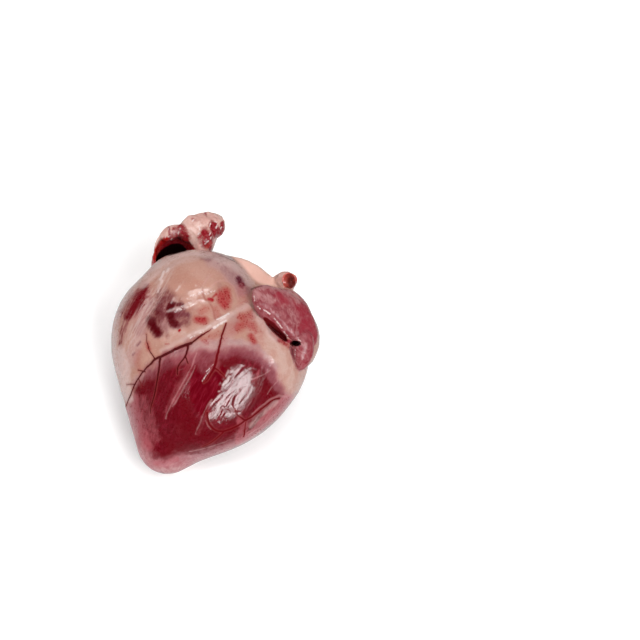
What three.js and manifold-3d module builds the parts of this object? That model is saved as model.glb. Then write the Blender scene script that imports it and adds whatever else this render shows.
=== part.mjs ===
import * as THREE from "three";
import { mergeVertices } from "three/addons/utils/BufferGeometryUtils.js";
import Module from "manifold-3d";

// A raw pork heart lying on its back surface, apex towards -Y, cut vessels towards +Y.
// All sizes are millimetres. X is to the right of the heart's face, Z is up.

// Driving dimensions
const HEART_WIDTH = 94; // across the ventricles
const APEX_REACH = 63; // from the widest place down to the tip
const HEART_HEIGHT = 60; // from the board to the top of the left ventricle
const FACE_TURN = 18; // degrees about Z that the heart's face is turned
const FACE_LEAN = 62; // degrees that the face looks up from level
const VESSEL_WALL = 3; // thickness of the cut great vessel at its rim
const STUMP_RADIUS = 15; // outside of the large cut vessel
const SMALL_STUMP_RADIUS = 5.4; // outside of the small cut vessel
const AURICLE_WIDTH = 19.6; // across the leaf of the auricle
const AURICLE_THICKNESS = 11; // through the leaf of the auricle

// Sizes that follow from them
const BASE_RADIUS = HEART_WIDTH / 2 - 2;
const APEX_RADIUS = 15;
const MIDDLE_Z = HEART_HEIGHT / 2 - 1;
const APEX_SINK = 10.5; // how far the apex's middle lies below the base's
const APEX_FLATNESS = 0.98; // height over width at the apex
const BASE_FLATNESS = 0.67; // height over width at the base

// How a skin is found: its first step out from the middle, and the share of a distance that is safe to step
const FIRST_STEP = 0.4;
const SAFE_STEP = 0.7;
const HALVINGS = 16;
const CONE_SCALE = 0.85; // keeps the flattened cone's distances from being too long

const vec = (x, y, z) => new THREE.Vector3(x, y, z);
const radians = THREE.MathUtils.degToRad;

// The face frame: right across the heart's face, up along it towards the base, and out of it.
const faceTurn = new THREE.Matrix4().makeRotationZ(radians(FACE_TURN));
const faceLean = new THREE.Matrix4().makeRotationX(radians(90 - FACE_LEAN));
const faceAxes = faceTurn.multiply(faceLean);
const faceMiddle = vec(0, 0, HEART_HEIGHT / 2);
const onFace = (right, up, out) => vec(right, up, out).applyMatrix4(faceAxes).add(faceMiddle);

// An ellipsoid bulge: its middle, radii, and turns in degrees about Z and then about its own X and Y.
function bulge(middle, radii, turn = [0, 0, 0], axes = new THREE.Matrix4()) {
  const toWorld = axes.clone();
  toWorld.multiply(new THREE.Matrix4().makeRotationZ(radians(turn[0])));
  toWorld.multiply(new THREE.Matrix4().makeRotationX(radians(turn[1])));
  toWorld.multiply(new THREE.Matrix4().makeRotationY(radians(turn[2])));
  const toLocal = toWorld.transpose();
  const local = vec(0, 0, 0);
  return (p) => {
    local.subVectors(p, middle).applyMatrix4(toLocal);
    const near = Math.hypot(local.x / radii[0], local.y / radii[1], local.z / radii[2]);
    const slope = Math.hypot(local.x / radii[0] ** 2, local.y / radii[1] ** 2, local.z / radii[2] ** 2);
    return (near * (near - 1)) / Math.max(slope, 1e-9);
  };
}

// The same on the heart's face, its middle given in the face frame.
const faceBulge = (right, up, out, radii, turn) => bulge(onFace(right, up, out), radii, turn, faceAxes);

// A straight vessel from a to b, its radius running from ra to rb.
function tube(a, b, ra, rb) {
  const along = b.clone().sub(a);
  const from = vec(0, 0, 0);
  return (p) => {
    from.subVectors(p, a);
    const t = THREE.MathUtils.clamp(from.dot(along) / along.lengthSq(), 0, 1);
    return from.addScaledVector(along, -t).length() - THREE.MathUtils.lerp(ra, rb, t);
  };
}

// Two forms grown together over a width, and a form hollowed by another.
const grown = (a, b, width) => (p) => {
  const toA = a(p);
  const toB = b(p);
  const share = THREE.MathUtils.clamp(0.5 + (0.5 * (toB - toA)) / width, 0, 1);
  return THREE.MathUtils.lerp(toB, toA, share) - width * share * (1 - share);
};
const hollowed = (a, b, width) => {
  const inner = grown((p) => -a(p), b, width);
  return (p) => -inner(p);
};

// The ventricles' main mass: a round cone from the apex to the base, flattened more towards the base.
function ventricleCone(p) {
  const t = THREE.MathUtils.clamp((p.y + APEX_REACH + 2) / (APEX_REACH + 2), 0, 1);
  const flat = THREE.MathUtils.lerp(APEX_FLATNESS, BASE_FLATNESS, t);
  const middle = MIDDLE_Z - APEX_SINK * (1 - t);
  const apex = { x: -4.7, y: APEX_RADIUS - APEX_REACH - 2 };
  const base = { x: -2, y: -2 };
  const long = { x: base.x - apex.x, y: base.y - apex.y };
  const length = Math.hypot(long.x, long.y);
  const grow = BASE_RADIUS - APEX_RADIUS;
  const q = { x: p.x - apex.x, y: p.y - apex.y, z: (p.z - middle) / flat };
  const ahead = (q.x * long.x + q.y * long.y) / length;
  const aside = Math.sqrt(Math.max(q.x ** 2 + q.y ** 2 + q.z ** 2 - ahead ** 2, 0));
  const slope = -grow / length;
  const cosine = Math.sqrt(1 - slope ** 2);
  const side = ahead * cosine - aside * slope;
  let distance = aside * cosine + ahead * slope - APEX_RADIUS;
  if (side < 0) distance = Math.hypot(aside, ahead) - APEX_RADIUS;
  if (side > length * cosine) distance = Math.hypot(aside, ahead - length) - BASE_RADIUS;
  return CONE_SCALE * distance;
}

// A sphere's mesh with shared corners, to be drawn out onto a form.
function ball(detail) {
  const sphere = new THREE.IcosahedronGeometry(1, detail);
  for (const name of ["normal", "uv"]) sphere.deleteAttribute(name);
  return mergeVertices(sphere);
}

// The closed surface round a form, found along rays from its middle.
function skin(form, middle, detail, stretch = [1, 1, 1]) {
  const geometry = ball(detail);
  const place = geometry.attributes.position;
  const ray = vec(0, 0, 0);
  const point = vec(0, 0, 0);
  const at = (reach) => form(point.copy(ray).multiplyScalar(reach).add(middle));
  for (let i = 0; i < place.count; i++) {
    ray.fromBufferAttribute(place, i).multiply(vec(...stretch)).normalize();
    let inside = 0;
    let outside = FIRST_STEP;
    for (let depth = at(outside); depth < 0; depth = at(outside)) {
      inside = outside;
      outside += Math.max(FIRST_STEP, -SAFE_STEP * depth);
    }
    for (let halving = 0; halving < HALVINGS; halving++) {
      const half = (inside + outside) / 2;
      if (at(half) < 0) inside = half;
      else outside = half;
    }
    at(outside);
    place.setXYZ(i, point.x, point.y, point.z);
  }
  return geometry;
}

const wasm = await Module();
wasm.setup();

function solid(geometry) {
  const bare = geometry.clone();
  for (const name of ["normal", "uv"]) bare.deleteAttribute(name);
  const merged = mergeVertices(bare);
  const vertProperties = new Float32Array(merged.attributes.position.array);
  const triVerts = new Uint32Array(merged.index.array);
  return new wasm.Manifold(new wasm.Mesh({ numProp: 3, vertProperties, triVerts }));
}

function geometryOf(made) {
  const mesh = made.getMesh();
  const geometry = new THREE.BufferGeometry();
  geometry.setAttribute("position", new THREE.BufferAttribute(new Float32Array(mesh.vertProperties), 3));
  geometry.setIndex(new THREE.BufferAttribute(new Uint32Array(mesh.triVerts), 1));
  geometry.computeVertexNormals();
  return geometry;
}

// Ventricles, conus and what is left of the atrium behind, as one mass.
function bodyMass() {
  const leftVentricle = bulge(vec(13, -20, 33), [29, 40, 26], [-36, 3, 0]);
  const rightSide = bulge(vec(-29.8, 1.8, 31), [16, 23.2, 24], [6, 0, 0]);
  const fatPad = bulge(vec(28, 3, 33), [17, 22, 21], [20, 0, 0]);
  const atrium = bulge(vec(4, 35, 19), [30, 13, 15], [-14, 0, 0]);
  const auricleRoot = bulge(vec(35, 19.8, 23), [12, 16.8, 14], [24, 0, 0]);
  const auricleNeck = faceBulge(37.5, 16, 3, [15, 7.5, 11], [-50, -32, 0]);
  const besideConus = bulge(vec(15, 39, 62), [15, 14, 20]);
  const conusMiddle = bulge(vec(-12.4, 16.8, 38.3), [25, 24, 25]);
  const leftShoulder = faceBulge(-17, 28.2, -2, [15, 15, 15]);
  const rightShoulder = faceBulge(1.5, 28.8, -3, [14.4, 14.4, 14.4]);
  const conus = grown(grown(conusMiddle, leftShoulder, 4), rightShoulder, 4);
  let form = grown(ventricleCone, leftVentricle, 7);
  form = grown(form, rightSide, 10);
  form = grown(form, fatPad, 8);
  form = grown(form, atrium, 3);
  form = grown(form, grown(auricleRoot, auricleNeck, 6), 4);
  form = hollowed(form, besideConus, 5);
  form = grown(form, conus, 5);
  return solid(skin(form, vec(-1, -6, MIDDLE_Z), 14, [47, 58, 31]));
}

// The auricle: a thick leaf with a rolled free edge over the fat, and a lobe down its right side.
function auricle() {
  const half = AURICLE_WIDTH / 2;
  const thick = AURICLE_THICKNESS / 2;
  const tip = faceBulge(30.3, 18.0, 19, [12.8, half - 1.4, thick - 0.5], [-42, -28, 4]);
  const leaf = faceBulge(39.4, 12.3, 15, [16, half - 0.4, thick + 0.5], [-50, -32, 8]);
  const freeEdge = faceBulge(33.1, 11.5, 21.2, [13, 3.8, 4.4], [-46, 0, 0]);
  const lobe = faceBulge(43.4, -2.7, 19.5, [9.5, 5.3, 5.5], [76, 12, 0]);
  const upper = solid(skin(grown(grown(tip, leaf, 3), freeEdge, 3), onFace(34, 14, 18.5), 8));
  return upper.add(solid(skin(lobe, onFace(43.4, -2.7, 19.5), 4)));
}

// The gap that the auricle's free edge leaves over the fat.
function edgeGap() {
  const form = faceBulge(31.1, 7.6, 23.5, [7.6, 1.5, 5], [-46, 0, 0]);
  return solid(skin(form, onFace(31.1, 7.6, 23.5), 3));
}

// The hole between the auricle's leaf and its lobe.
function notch() {
  const form = faceBulge(40.8, 1.1, 20, [2.5, 1.4, 7], [-10, 0, 0]);
  return solid(skin(form, onFace(40.8, 1.1, 20), 2));
}

// The pale wall of the great artery, cut off flat between the conus and the auricle.
function arteryWall() {
  const form = faceBulge(17.5, 29.1, -7, [19, 10, 8], [-35, 0, 0]);
  return solid(skin(form, onFace(17.5, 29.1, -7), 5));
}

// The large cut vessel: a short tube, open to the top, with lumps of fat on its right rim.
function largeStump() {
  const root = vec(-22, 22, 22);
  const mouth = vec(-29, 37, 32);
  const rim = vec(-31, 39, 40);
  const rimRadius = STUMP_RADIUS - VESSEL_WALL;
  const shaft = tube(root, mouth, STUMP_RADIUS, STUMP_RADIUS - 0.5);
  const collar = tube(vec(-30, 38, 36), rim, rimRadius, rimRadius - 0.5);
  const outside = solid(skin(grown(shaft, collar, 3), vec(-27, 32, 30), 8));
  const bore = tube(vec(-26, 28, 20), vec(-30.5, 38, 48), rimRadius - 3, rimRadius - 0.5);
  const fat = [
    faceBulge(-9.2, 56.9, -15, [9, 6.5, 6], [25, 0, 0]),
    faceBulge(-0.6, 58.0, -18, [6.3, 6.3, 6], [0, 0, 0]),
    faceBulge(-4.8, 50.0, -14, [5.5, 8, 7], [-20, 0, 0]),
  ];
  const lumps = grown(grown(fat[0], fat[1], 4), fat[2], 3);
  const bead = faceBulge(-20.6, 54.3, -12, [5, 3.5, 3], [30, 0, 0]);
  return outside
    .subtract(solid(skin(bore, vec(-28, 33, 34), 6)))
    .add(solid(skin(lumps, onFace(-6, 55, -15.5), 6)))
    .add(solid(skin(bead, onFace(-20.6, 54.3, -12), 3)));
}

// The small cut vessel beside the auricle, with its open end up.
function smallStump() {
  const root = vec(21.4, 37.4, 35.2);
  const mouth = vec(24.7, 38.6, 40.7);
  const outside = tube(root, mouth, SMALL_STUMP_RADIUS, SMALL_STUMP_RADIUS - 0.3);
  const bore = tube(vec(24.5, 39.1, 38.8), vec(29.4, 37, 48.2), 2.6, 4.2);
  const middle = root.clone().add(mouth).divideScalar(2);
  const boreMiddle = vec(27, 38, 43.5);
  return solid(skin(outside, middle, 4)).subtract(solid(skin(bore, boreMiddle, 3)));
}

// The flat spot that the heart rests on.
function aboveBoard() {
  const side = 4 * HEART_WIDTH;
  return solid(new THREE.BoxGeometry(side, side, side).translate(0, 0, side / 2));
}

const whole = bodyMass()
  .subtract(edgeGap())
  .add(auricle())
  .subtract(notch())
  .add(arteryWall())
  .add(largeStump())
  .add(smallStump())
  .intersect(aboveBoard());

const flesh = new THREE.MeshStandardMaterial({ color: 0x8f3a40, roughness: 0.35, metalness: 0 });
const heart = new THREE.Mesh(geometryOf(whole), flesh);
heart.name = "heart";

// The origin is on the board, below the middle of the heart's box.
const box = new THREE.Box3().setFromBufferAttribute(heart.geometry.attributes.position);
const centre = box.getCenter(vec(0, 0, 0));
heart.position.set(-centre.x, -centre.y, -box.min.z);

const group = new THREE.Group();
group.add(heart);

export default group;
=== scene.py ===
"""A raw pork heart: its wet flesh, fat, veins and membrane, on a white ground."""
import math
from types import SimpleNamespace

import bpy
import numpy as np
from mathutils import Matrix, Vector


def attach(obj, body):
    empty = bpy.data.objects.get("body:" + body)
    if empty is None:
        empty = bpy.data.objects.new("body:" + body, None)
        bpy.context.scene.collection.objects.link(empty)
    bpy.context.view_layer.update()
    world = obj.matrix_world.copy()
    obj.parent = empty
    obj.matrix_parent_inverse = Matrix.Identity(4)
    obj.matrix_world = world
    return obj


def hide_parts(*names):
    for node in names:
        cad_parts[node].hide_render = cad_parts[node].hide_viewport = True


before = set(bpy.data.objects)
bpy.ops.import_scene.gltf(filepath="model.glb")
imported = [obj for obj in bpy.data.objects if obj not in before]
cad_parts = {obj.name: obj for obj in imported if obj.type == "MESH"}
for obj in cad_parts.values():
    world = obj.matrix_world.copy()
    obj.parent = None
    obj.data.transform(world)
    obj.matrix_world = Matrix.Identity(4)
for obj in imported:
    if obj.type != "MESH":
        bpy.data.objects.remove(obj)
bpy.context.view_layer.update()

# Driving dimensions of the heart in millimetres, the same as the solid's
HEART_WIDTH = 94.0
APEX_REACH = 63.0
HEART_HEIGHT = 60.0
FACE_TURN = 18.0
FACE_LEAN = 62.0
VESSEL_WALL = 3.0
STUMP_RADIUS = 15.0
SMALL_STUMP_RADIUS = 5.4
SMALL_ROOT = np.array([21.4, 37.4, 35.2])
SMALL_MOUTH = np.array([24.7, 38.6, 40.7])
AURICLE_WIDTH = 19.6
AURICLE_THICKNESS = 11.0
BASE_RADIUS = HEART_WIDTH / 2 - 2
APEX_RADIUS = 15.0
MIDDLE_Z = HEART_HEIGHT / 2 - 1
LARGE_BORE_BOTTOM = (-26, 28, 20)
LARGE_BORE_TOP = (-30.5, 38, 48)
BOX_MIDDLE = np.array([0.564, -1.099, 0.0])  # the frame's origin, in the drawing's millimetres

# The photograph's camera: millimetres for each pixel at the heart, and where the heart's middle shows
PIXEL = 0.48
PHOTO_SIZE = 640
PHOTO_MIDDLE = (212.0, 345.0)
LENS = 105.0
SENSOR = 36.0
CLIP_END = 10

# The surface's grid in millimetres, how many of its cells a coarse cell spans, and the triangles kept
GRID = 0.46
GRID_LOW = np.array([-54.0, -71.0, -2.2])
GRID_HIGH = np.array([56.0, 69.0, 68.0])
COARSE = 4
MOST_TRIANGLES = 190000
THINNING_LEVELS = 4

# How far from a line feature its value is followed, in millimetres
FAR = 6.0
BAND_FAR = 9.0

# How brightly the light falls on the heart's face, and the brightness of the room and of its ground
LIGHT = 1.18
ROOM_LIGHT = 0.03
GROUND_LIGHT = 0.6

# The ground, the height that the lights aim at and the material's wrinkles, in metres
GROUND_REACH = 3.0
LIGHTS_AIM = 0.03
WRINKLE_HEIGHT = 0.0004


def turn(axis, degrees):
    """A rotation matrix about one axis."""
    c, s = math.cos(math.radians(degrees)), math.sin(math.radians(degrees))
    m = np.eye(3)
    i, j = [(1, 2), (2, 0), (0, 1)][axis]
    m[i, i] = m[j, j] = c
    m[i, j], m[j, i] = -s, s
    return m


# The face frame: right across the heart's face, up along it towards the base, and out of it
FACE = turn(2, FACE_TURN) @ turn(0, 90 - FACE_LEAN)
FACE_MIDDLE = np.array([0, 0, HEART_HEIGHT / 2])


def on_face(right, up, out):
    return FACE @ np.array([right, up, out], float) + FACE_MIDDLE


# Forms as distance fields, negative inside


def bulge(p, middle, radii, turns=(0, 0, 0), axes=np.eye(3)):
    """An ellipsoid, turned about Z and then about its own X and Y."""
    m = axes @ turn(2, turns[0]) @ turn(0, turns[1]) @ turn(1, turns[2])
    q = (p - np.asarray(middle, p.dtype)) @ m.astype(p.dtype)
    r = np.asarray(radii, p.dtype)
    near = np.sqrt(((q / r) ** 2).sum(-1))
    slope = np.sqrt(((q / r**2) ** 2).sum(-1))
    return near * (near - 1) / np.maximum(slope, 1e-9)


def face_bulge(p, place, radii, turns=(0, 0, 0)):
    return bulge(p, on_face(*place), radii, turns, FACE)


def tube(p, a, b, ra, rb):
    """A straight vessel from a to b, its radius running from ra to rb."""
    a, b = np.asarray(a, p.dtype), np.asarray(b, p.dtype)
    t = np.clip(((p - a) @ (b - a)) / ((b - a) @ (b - a)), 0, 1)
    return np.linalg.norm(p - a - t[..., None] * (b - a), axis=-1) - (ra + (rb - ra) * t)


def grown(a, b, width):
    """Two forms grown together over a width."""
    h = np.clip(0.5 + 0.5 * (b - a) / width, 0, 1)
    return b + (a - b) * h - width * h * (1 - h)


def hollowed(a, b, width):
    return -grown(-a, b, width)


def ventricle_cone(p):
    """A round cone from the apex to the base, flattened more towards the base."""
    t = np.clip((p[..., 1] + APEX_REACH + 2) / (APEX_REACH + 2), 0, 1)
    flat = 0.98 - 0.31 * t
    middle = MIDDLE_Z - 10.5 * (1 - t)
    apex = np.array([-4.7, APEX_RADIUS - APEX_REACH - 2])
    along = np.array([-2, -2]) - apex
    length = np.hypot(*along)
    x, y = p[..., 0] - apex[0], p[..., 1] - apex[1]
    z = (p[..., 2] - middle) / flat
    ahead = (x * along[0] + y * along[1]) / length
    aside = np.sqrt(np.maximum(x**2 + y**2 + z**2 - ahead**2, 0))
    slope = -(BASE_RADIUS - APEX_RADIUS) / length
    cosine = math.sqrt(1 - slope**2)
    side = ahead * cosine - aside * slope
    distance = aside * cosine + ahead * slope - APEX_RADIUS
    distance = np.where(side < 0, np.hypot(aside, ahead) - APEX_RADIUS, distance)
    beyond = np.hypot(aside, ahead - length) - BASE_RADIUS
    return 0.85 * np.where(side > length * cosine, beyond, distance)


def body_mass(p):
    """Ventricles, conus and what is left of the atrium behind."""
    d = grown(ventricle_cone(p), bulge(p, (13, -20, 33), (29, 40, 26), (-36, 3, 0)), 7)
    d = grown(d, bulge(p, (-29.8, 1.8, 31), (16, 23.2, 24), (6, 0, 0)), 10)
    d = grown(d, bulge(p, (28, 3, 33), (17, 22, 21), (20, 0, 0)), 8)
    d = grown(d, bulge(p, (4, 35, 19), (30, 13, 15), (-14, 0, 0)), 3)
    root = bulge(p, (35, 19.8, 23), (12, 16.8, 14), (24, 0, 0))
    neck = face_bulge(p, (37.5, 16, 3), (15, 7.5, 11), (-50, -32, 0))
    d = grown(d, grown(root, neck, 6), 4)
    d = hollowed(d, bulge(p, (15, 39, 62), (15, 14, 20)), 5)
    conus = bulge(p, (-12.4, 16.8, 38.3), (25, 24, 25))
    conus = grown(conus, face_bulge(p, (-17, 28.2, -2), (15, 15, 15)), 4)
    conus = grown(conus, face_bulge(p, (1.5, 28.8, -3), (14.4, 14.4, 14.4)), 4)
    return grown(d, conus, 5)


def auricle(p):
    """A thick leaf with a rolled free edge over the fat, and a lobe that hangs down the right side."""
    half, thick = AURICLE_WIDTH / 2, AURICLE_THICKNESS / 2
    d = face_bulge(p, (30.3, 18.0, 19), (12.8, half - 1.4, thick - 0.5), (-42, -28, 4))
    d = grown(d, face_bulge(p, (39.4, 12.3, 15), (16, half - 0.4, thick + 0.5), (-50, -32, 8)), 3)
    d = grown(d, face_bulge(p, (33.1, 11.5, 21.2), (13, 3.8, 4.4), (-46, 0, 0)), 3)
    return grown(d, face_bulge(p, (43.4, -2.7, 19.5), (9.5, 5.3, 5.5), (76, 12, 0)), 2)


def artery_wall(p):
    return face_bulge(p, (17.5, 29.1, -7), (19, 10, 8), (-35, 0, 0))


def large_bore(p):
    inner = STUMP_RADIUS - VESSEL_WALL
    return tube(p, LARGE_BORE_BOTTOM, LARGE_BORE_TOP, inner - 3, inner - 0.5)


def large_stump(p):
    """The large cut vessel, open to the top, with lumps of fat on its right rim."""
    rim = STUMP_RADIUS - VESSEL_WALL
    d = tube(p, (-22, 22, 22), (-29, 37, 32), STUMP_RADIUS, STUMP_RADIUS - 0.5)
    d = grown(d, tube(p, (-30, 38, 36), (-31, 39, 40), rim, rim - 0.5), 3)
    d = hollowed(d, large_bore(p), 1.5)
    lumps = face_bulge(p, (-9.2, 56.9, -15), (9, 6.5, 6), (25, 0, 0))
    lumps = grown(lumps, face_bulge(p, (-0.6, 58, -18), (6.3, 6.3, 6)), 4)
    lumps = grown(lumps, face_bulge(p, (-4.8, 50, -14), (5.5, 8, 7), (-20, 0, 0)), 3)
    d = grown(d, lumps, 3)
    return grown(d, face_bulge(p, (-20.6, 54.3, -12), (5, 3.5, 3), (30, 0, 0)), 2)


def small_bore(p):
    return tube(p, (24.5, 39.1, 38.8), (29.4, 37.0, 48.2), 2.6, 4.2)


def small_stump(p):
    d = tube(p, SMALL_ROOT, SMALL_MOUTH, SMALL_STUMP_RADIUS, SMALL_STUMP_RADIUS - 0.3)
    return hollowed(d, small_bore(p), 0.8)


def edge_gap(p):
    """The gap that the rolled edge of the auricle leaves over the fat."""
    return face_bulge(p, (31.1, 7.6, 23.5), (7.6, 1.5, 5), (-46, 0, 0))


def lobe_crease(p):
    """The crease beside the auricle's lobe."""
    return face_bulge(p, (39.7, -6.2, 23), (0.8, 6.5, 3), (17, 0, 0))


def notch(p):
    """The hole between the leaf of the auricle and its lobe."""
    return face_bulge(p, (40.8, 1.1, 20), (2.5, 1.4, 7), (-10, 0, 0))


def whole_heart(p):
    d = hollowed(body_mass(p), np.minimum(edge_gap(p), lobe_crease(p)), 0.5)
    d = grown(d, auricle(p), 0.5)
    d = hollowed(d, notch(p), 0.5)
    d = grown(d, artery_wall(p), 2)
    d = grown(d, large_stump(p), 2)
    d = grown(d, small_stump(p), 1.5)
    return hollowed(d, p[..., 2], 3)


# Noise


def hashed(cell, seed):
    """A repeatable number in 0..1 for each whole-number cell."""
    whole = np.uint64(0xFFFFFFFF)
    h = cell[..., 0] * 374761393 + cell[..., 1] * 668265263 + cell[..., 2] * 2147483647 + seed * 974711
    h = (h & np.uint32(whole)).astype(np.uint64)
    h = (h ^ (h >> np.uint64(13))) * np.uint64(1274126177) & whole
    h = h ^ (h >> np.uint64(16))
    return (h & np.uint64(0xFFFFFF)).astype(float) / float(0xFFFFFF)


def noise(p, size, seed=0):
    """Smooth noise in -1..1 whose lumps are about `size` across."""
    q = p / np.asarray(size, float)
    base = np.floor(q).astype(np.int64)
    f = q - base
    f = f * f * f * (f * (f * 6 - 15) + 10)
    total = 0.0
    for corner in np.ndindex(2, 2, 2):
        weight = np.prod(np.where(np.array(corner) == 1, f, 1 - f), axis=-1)
        total = total + weight * hashed(base + np.array(corner), seed)
    return 2 * total - 1


def fractal(p, size, octaves=3, seed=0):
    total, gain = 0.0, 1.0
    for k in range(octaves):
        total = total + gain * noise(p + 17.3 * k, np.asarray(size, float) / 2**k, seed + k)
        gain *= 0.5
    return total / (2 - 0.5 ** (octaves - 1))


def smooth(low, high, x):
    t = np.clip((x - low) / (high - low), 0, 1)
    return t * t * (3 - 2 * t)


# The mesh: a net of quads over the form's surface, eased onto it, thinned out where it faces down


def sampled_field(axes):
    """The form on a grid, worked out finely only near the surface."""
    rough = np.stack(np.meshgrid(*(a[::COARSE] for a in axes), indexing="ij"), -1)
    coarse = whole_heart(rough.astype(np.float32))
    shape = tuple(slice(len(a)) for a in axes)
    fine, near = (
        values.repeat(COARSE, 0).repeat(COARSE, 1).repeat(COARSE, 2)[shape]
        for values in (coarse, np.abs(coarse) < GRID * COARSE * 2.2)
    )
    i, j, k = np.nonzero(near)
    fine[i, j, k] = whole_heart(np.stack([axes[0][i], axes[1][j], axes[2][k]], -1).astype(np.float32))
    return fine


def surface_net(f, low, step):
    """Corners and quads of the surface f = 0."""
    size = [n - 1 for n in f.shape]
    place = np.zeros(size + [3], np.float32)
    count = np.zeros(size, np.float32)
    for axis in range(3):
        for side in np.ndindex(2, 2):
            start = list(side)
            start.insert(axis, 0)
            end = list(start)
            end[axis] = 1
            a = f[tuple(slice(s, s + n) for s, n in zip(start, size))]
            b = f[tuple(slice(s, s + n) for s, n in zip(end, size))]
            crossed = (a < 0) != (b < 0)
            t = np.where(crossed, a / np.where(crossed, a - b, 1), 0)
            for d in range(3):
                place[..., d] += np.where(crossed, start[d] + t * (end[d] - start[d]), 0)
            count += crossed
    active = count > 0
    index = np.full(size, -1, np.int64)
    index[active] = np.arange(active.sum())
    cells = np.stack(np.nonzero(active), -1)
    corners = low + step * (cells + place[active] / count[active][:, None])
    quads = []
    for axis in range(3):
        u, v = [d for d in range(3) if d != axis]
        a = f[tuple(slice(0, n - 1) if d == axis else slice(1, n - 1) for d, n in enumerate(f.shape))]
        b = f[tuple(slice(1, n) if d == axis else slice(1, n - 1) for d, n in enumerate(f.shape))]
        cell = np.stack(np.nonzero((a < 0) != (b < 0)), -1)
        inside = (a < 0)[tuple(cell.T)]
        cell[:, [u, v]] += 1
        ring = []
        for du, dv in ((-1, -1), (0, -1), (0, 0), (-1, 0)):
            shifted = cell.copy()
            shifted[:, u] += du
            shifted[:, v] += dv
            ring.append(index[tuple(shifted.T)])
        ring = np.stack(ring, -1)
        forward = inside if axis != 1 else ~inside
        quads.append(np.where(forward[:, None], ring, ring[:, ::-1]))
    return corners, np.concatenate(quads)


def slope_of(p, step=0.05):
    return np.stack([(whole_heart(p + s) - whole_heart(p - s)) / (2 * step) for s in np.eye(3) * step], -1)


def make_mesh(name, corners, faces):
    mesh = bpy.data.meshes.new(name)
    mesh.vertices.add(len(corners))
    mesh.vertices.foreach_set("co", corners.astype(np.float32).ravel())
    mesh.loops.add(faces.size)
    mesh.loops.foreach_set("vertex_index", faces.astype(np.int32).ravel())
    mesh.polygons.add(len(faces))
    mesh.polygons.foreach_set("loop_start", np.arange(len(faces), dtype=np.int32) * faces.shape[1])
    mesh.update(calc_edges=True)
    return mesh


def read_points(items, key):
    flat = np.empty(len(items) * 3, np.float32)
    items.foreach_get(key, flat)
    return flat.reshape(-1, 3).astype(float)


def thinned(mesh, keep_fine):
    """The mesh with fewer triangles, taken where keep_fine is low."""
    thin = bpy.data.objects.new("thin", mesh)
    bpy.context.scene.collection.objects.link(thin)
    group = thin.vertex_groups.new(name="thin")
    for level in range(1, THINNING_LEVELS + 1):
        chosen = np.nonzero(np.ceil((1 - keep_fine) * THINNING_LEVELS) == level)[0]
        group.add([int(i) for i in chosen], level / THINNING_LEVELS, "REPLACE")
    decimate = thin.modifiers.new("thin", "DECIMATE")
    decimate.ratio = MOST_TRIANGLES / (2 * len(mesh.polygons))
    decimate.vertex_group = "thin"
    decimate.vertex_group_factor = 1.0
    decimate.use_collapse_triangulate = True
    depsgraph = bpy.context.evaluated_depsgraph_get()
    result = bpy.data.meshes.new_from_object(thin.evaluated_get(depsgraph))
    bpy.data.objects.remove(thin)
    return result


def build_surface():
    axes = [np.arange(low, high, GRID) for low, high in zip(GRID_LOW, GRID_HIGH)]
    corners, quads = surface_net(sampled_field(axes), GRID_LOW, GRID)
    for _ in range(2):
        slope = slope_of(corners)
        off = whole_heart(corners) / np.maximum((slope**2).sum(1), 0.05)
        corners = corners - slope * np.clip(off, -0.5, 0.5)[:, None]
    mesh = make_mesh("heart_flesh", corners, quads)
    outward = read_points(mesh.vertex_normals, "vector")
    return thinned(mesh, smooth(-0.25, 0.15, outward @ FACE[:, 2]))


# The photograph's view: where a point of the surface shows, in its 640-pixel frame


class View:
    """The camera that the photograph was taken with."""

    focal = LENS / SENSOR * PHOTO_SIZE
    distance = PIXEL * focal
    right, up, out = FACE[:, 0], FACE[:, 1], FACE[:, 2]
    half = PHOTO_SIZE / 2
    eye = (
        FACE_MIDDLE
        + out * distance
        - right * (PHOTO_MIDDLE[0] - half) * PIXEL
        - up * (half - PHOTO_MIDDLE[1]) * PIXEL
    )

    @classmethod
    def pixels(cls, p):
        d = p - cls.eye
        depth = -(d @ cls.out)
        across = cls.half + cls.focal * (d @ cls.right) / depth
        down = cls.half - cls.focal * (d @ cls.up) / depth
        return np.stack([across, down], -1)

    @classmethod
    def facing(cls, p, outward):
        ray = cls.eye - p
        return (outward * ray).sum(1) / np.linalg.norm(ray, axis=1)


# Drawn features, as pixel coordinates of the photograph

# Half-widths of the sheath and the band in millimetres, at their start and end
SHEATH_HALF = (0.5, 1.1)
BAND_HALF = (2.2, 2.6)

# Veins and streaks: a route, with half-widths in millimetres at its start and end
MAIN_VEIN = [
    (124, 408), (127, 401), (130, 393), (133, 385), (138, 377), (143, 370), (149, 364), (154, 359),
    (162, 355), (170, 351), (180, 346), (190, 342), (196, 338), (202, 333),
]
DARK_VEINS = [
    (MAIN_VEIN, 0.28, 0.36),
    ([(149, 364), (154, 359), (162, 355), (170, 351), (180, 346), (190, 342)], 0.42, 0.66),
    ([(188, 344), (186, 351), (184, 356), (180, 361), (177, 366), (176, 374)], 0.42, 0.2),
    ([(184, 356), (186, 359), (187, 363)], 0.3, 0.15),
    ([(159, 358), (158, 366), (157, 373), (155, 385), (153, 395), (150, 405), (149, 413)], 0.48, 0.16),
    ([(145, 333), (146, 342), (148, 348), (151, 354), (154, 359)], 0.08, 0.2),
    ([(137, 370), (141, 371), (144, 371)], 0.12, 0.2),
    ([(125, 385), (130, 384), (134, 384)], 0.05, 0.15),
    ([(137, 378), (139, 382), (140, 386)], 0.15, 0.08),
    ([(203, 290), (205, 297), (210, 301), (213, 307), (214, 314), (216, 319)], -0.14, -0.06),
    ([(211, 250), (217, 252), (225, 255.5), (235, 260.5)], 0, 0.25),
]
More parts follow.
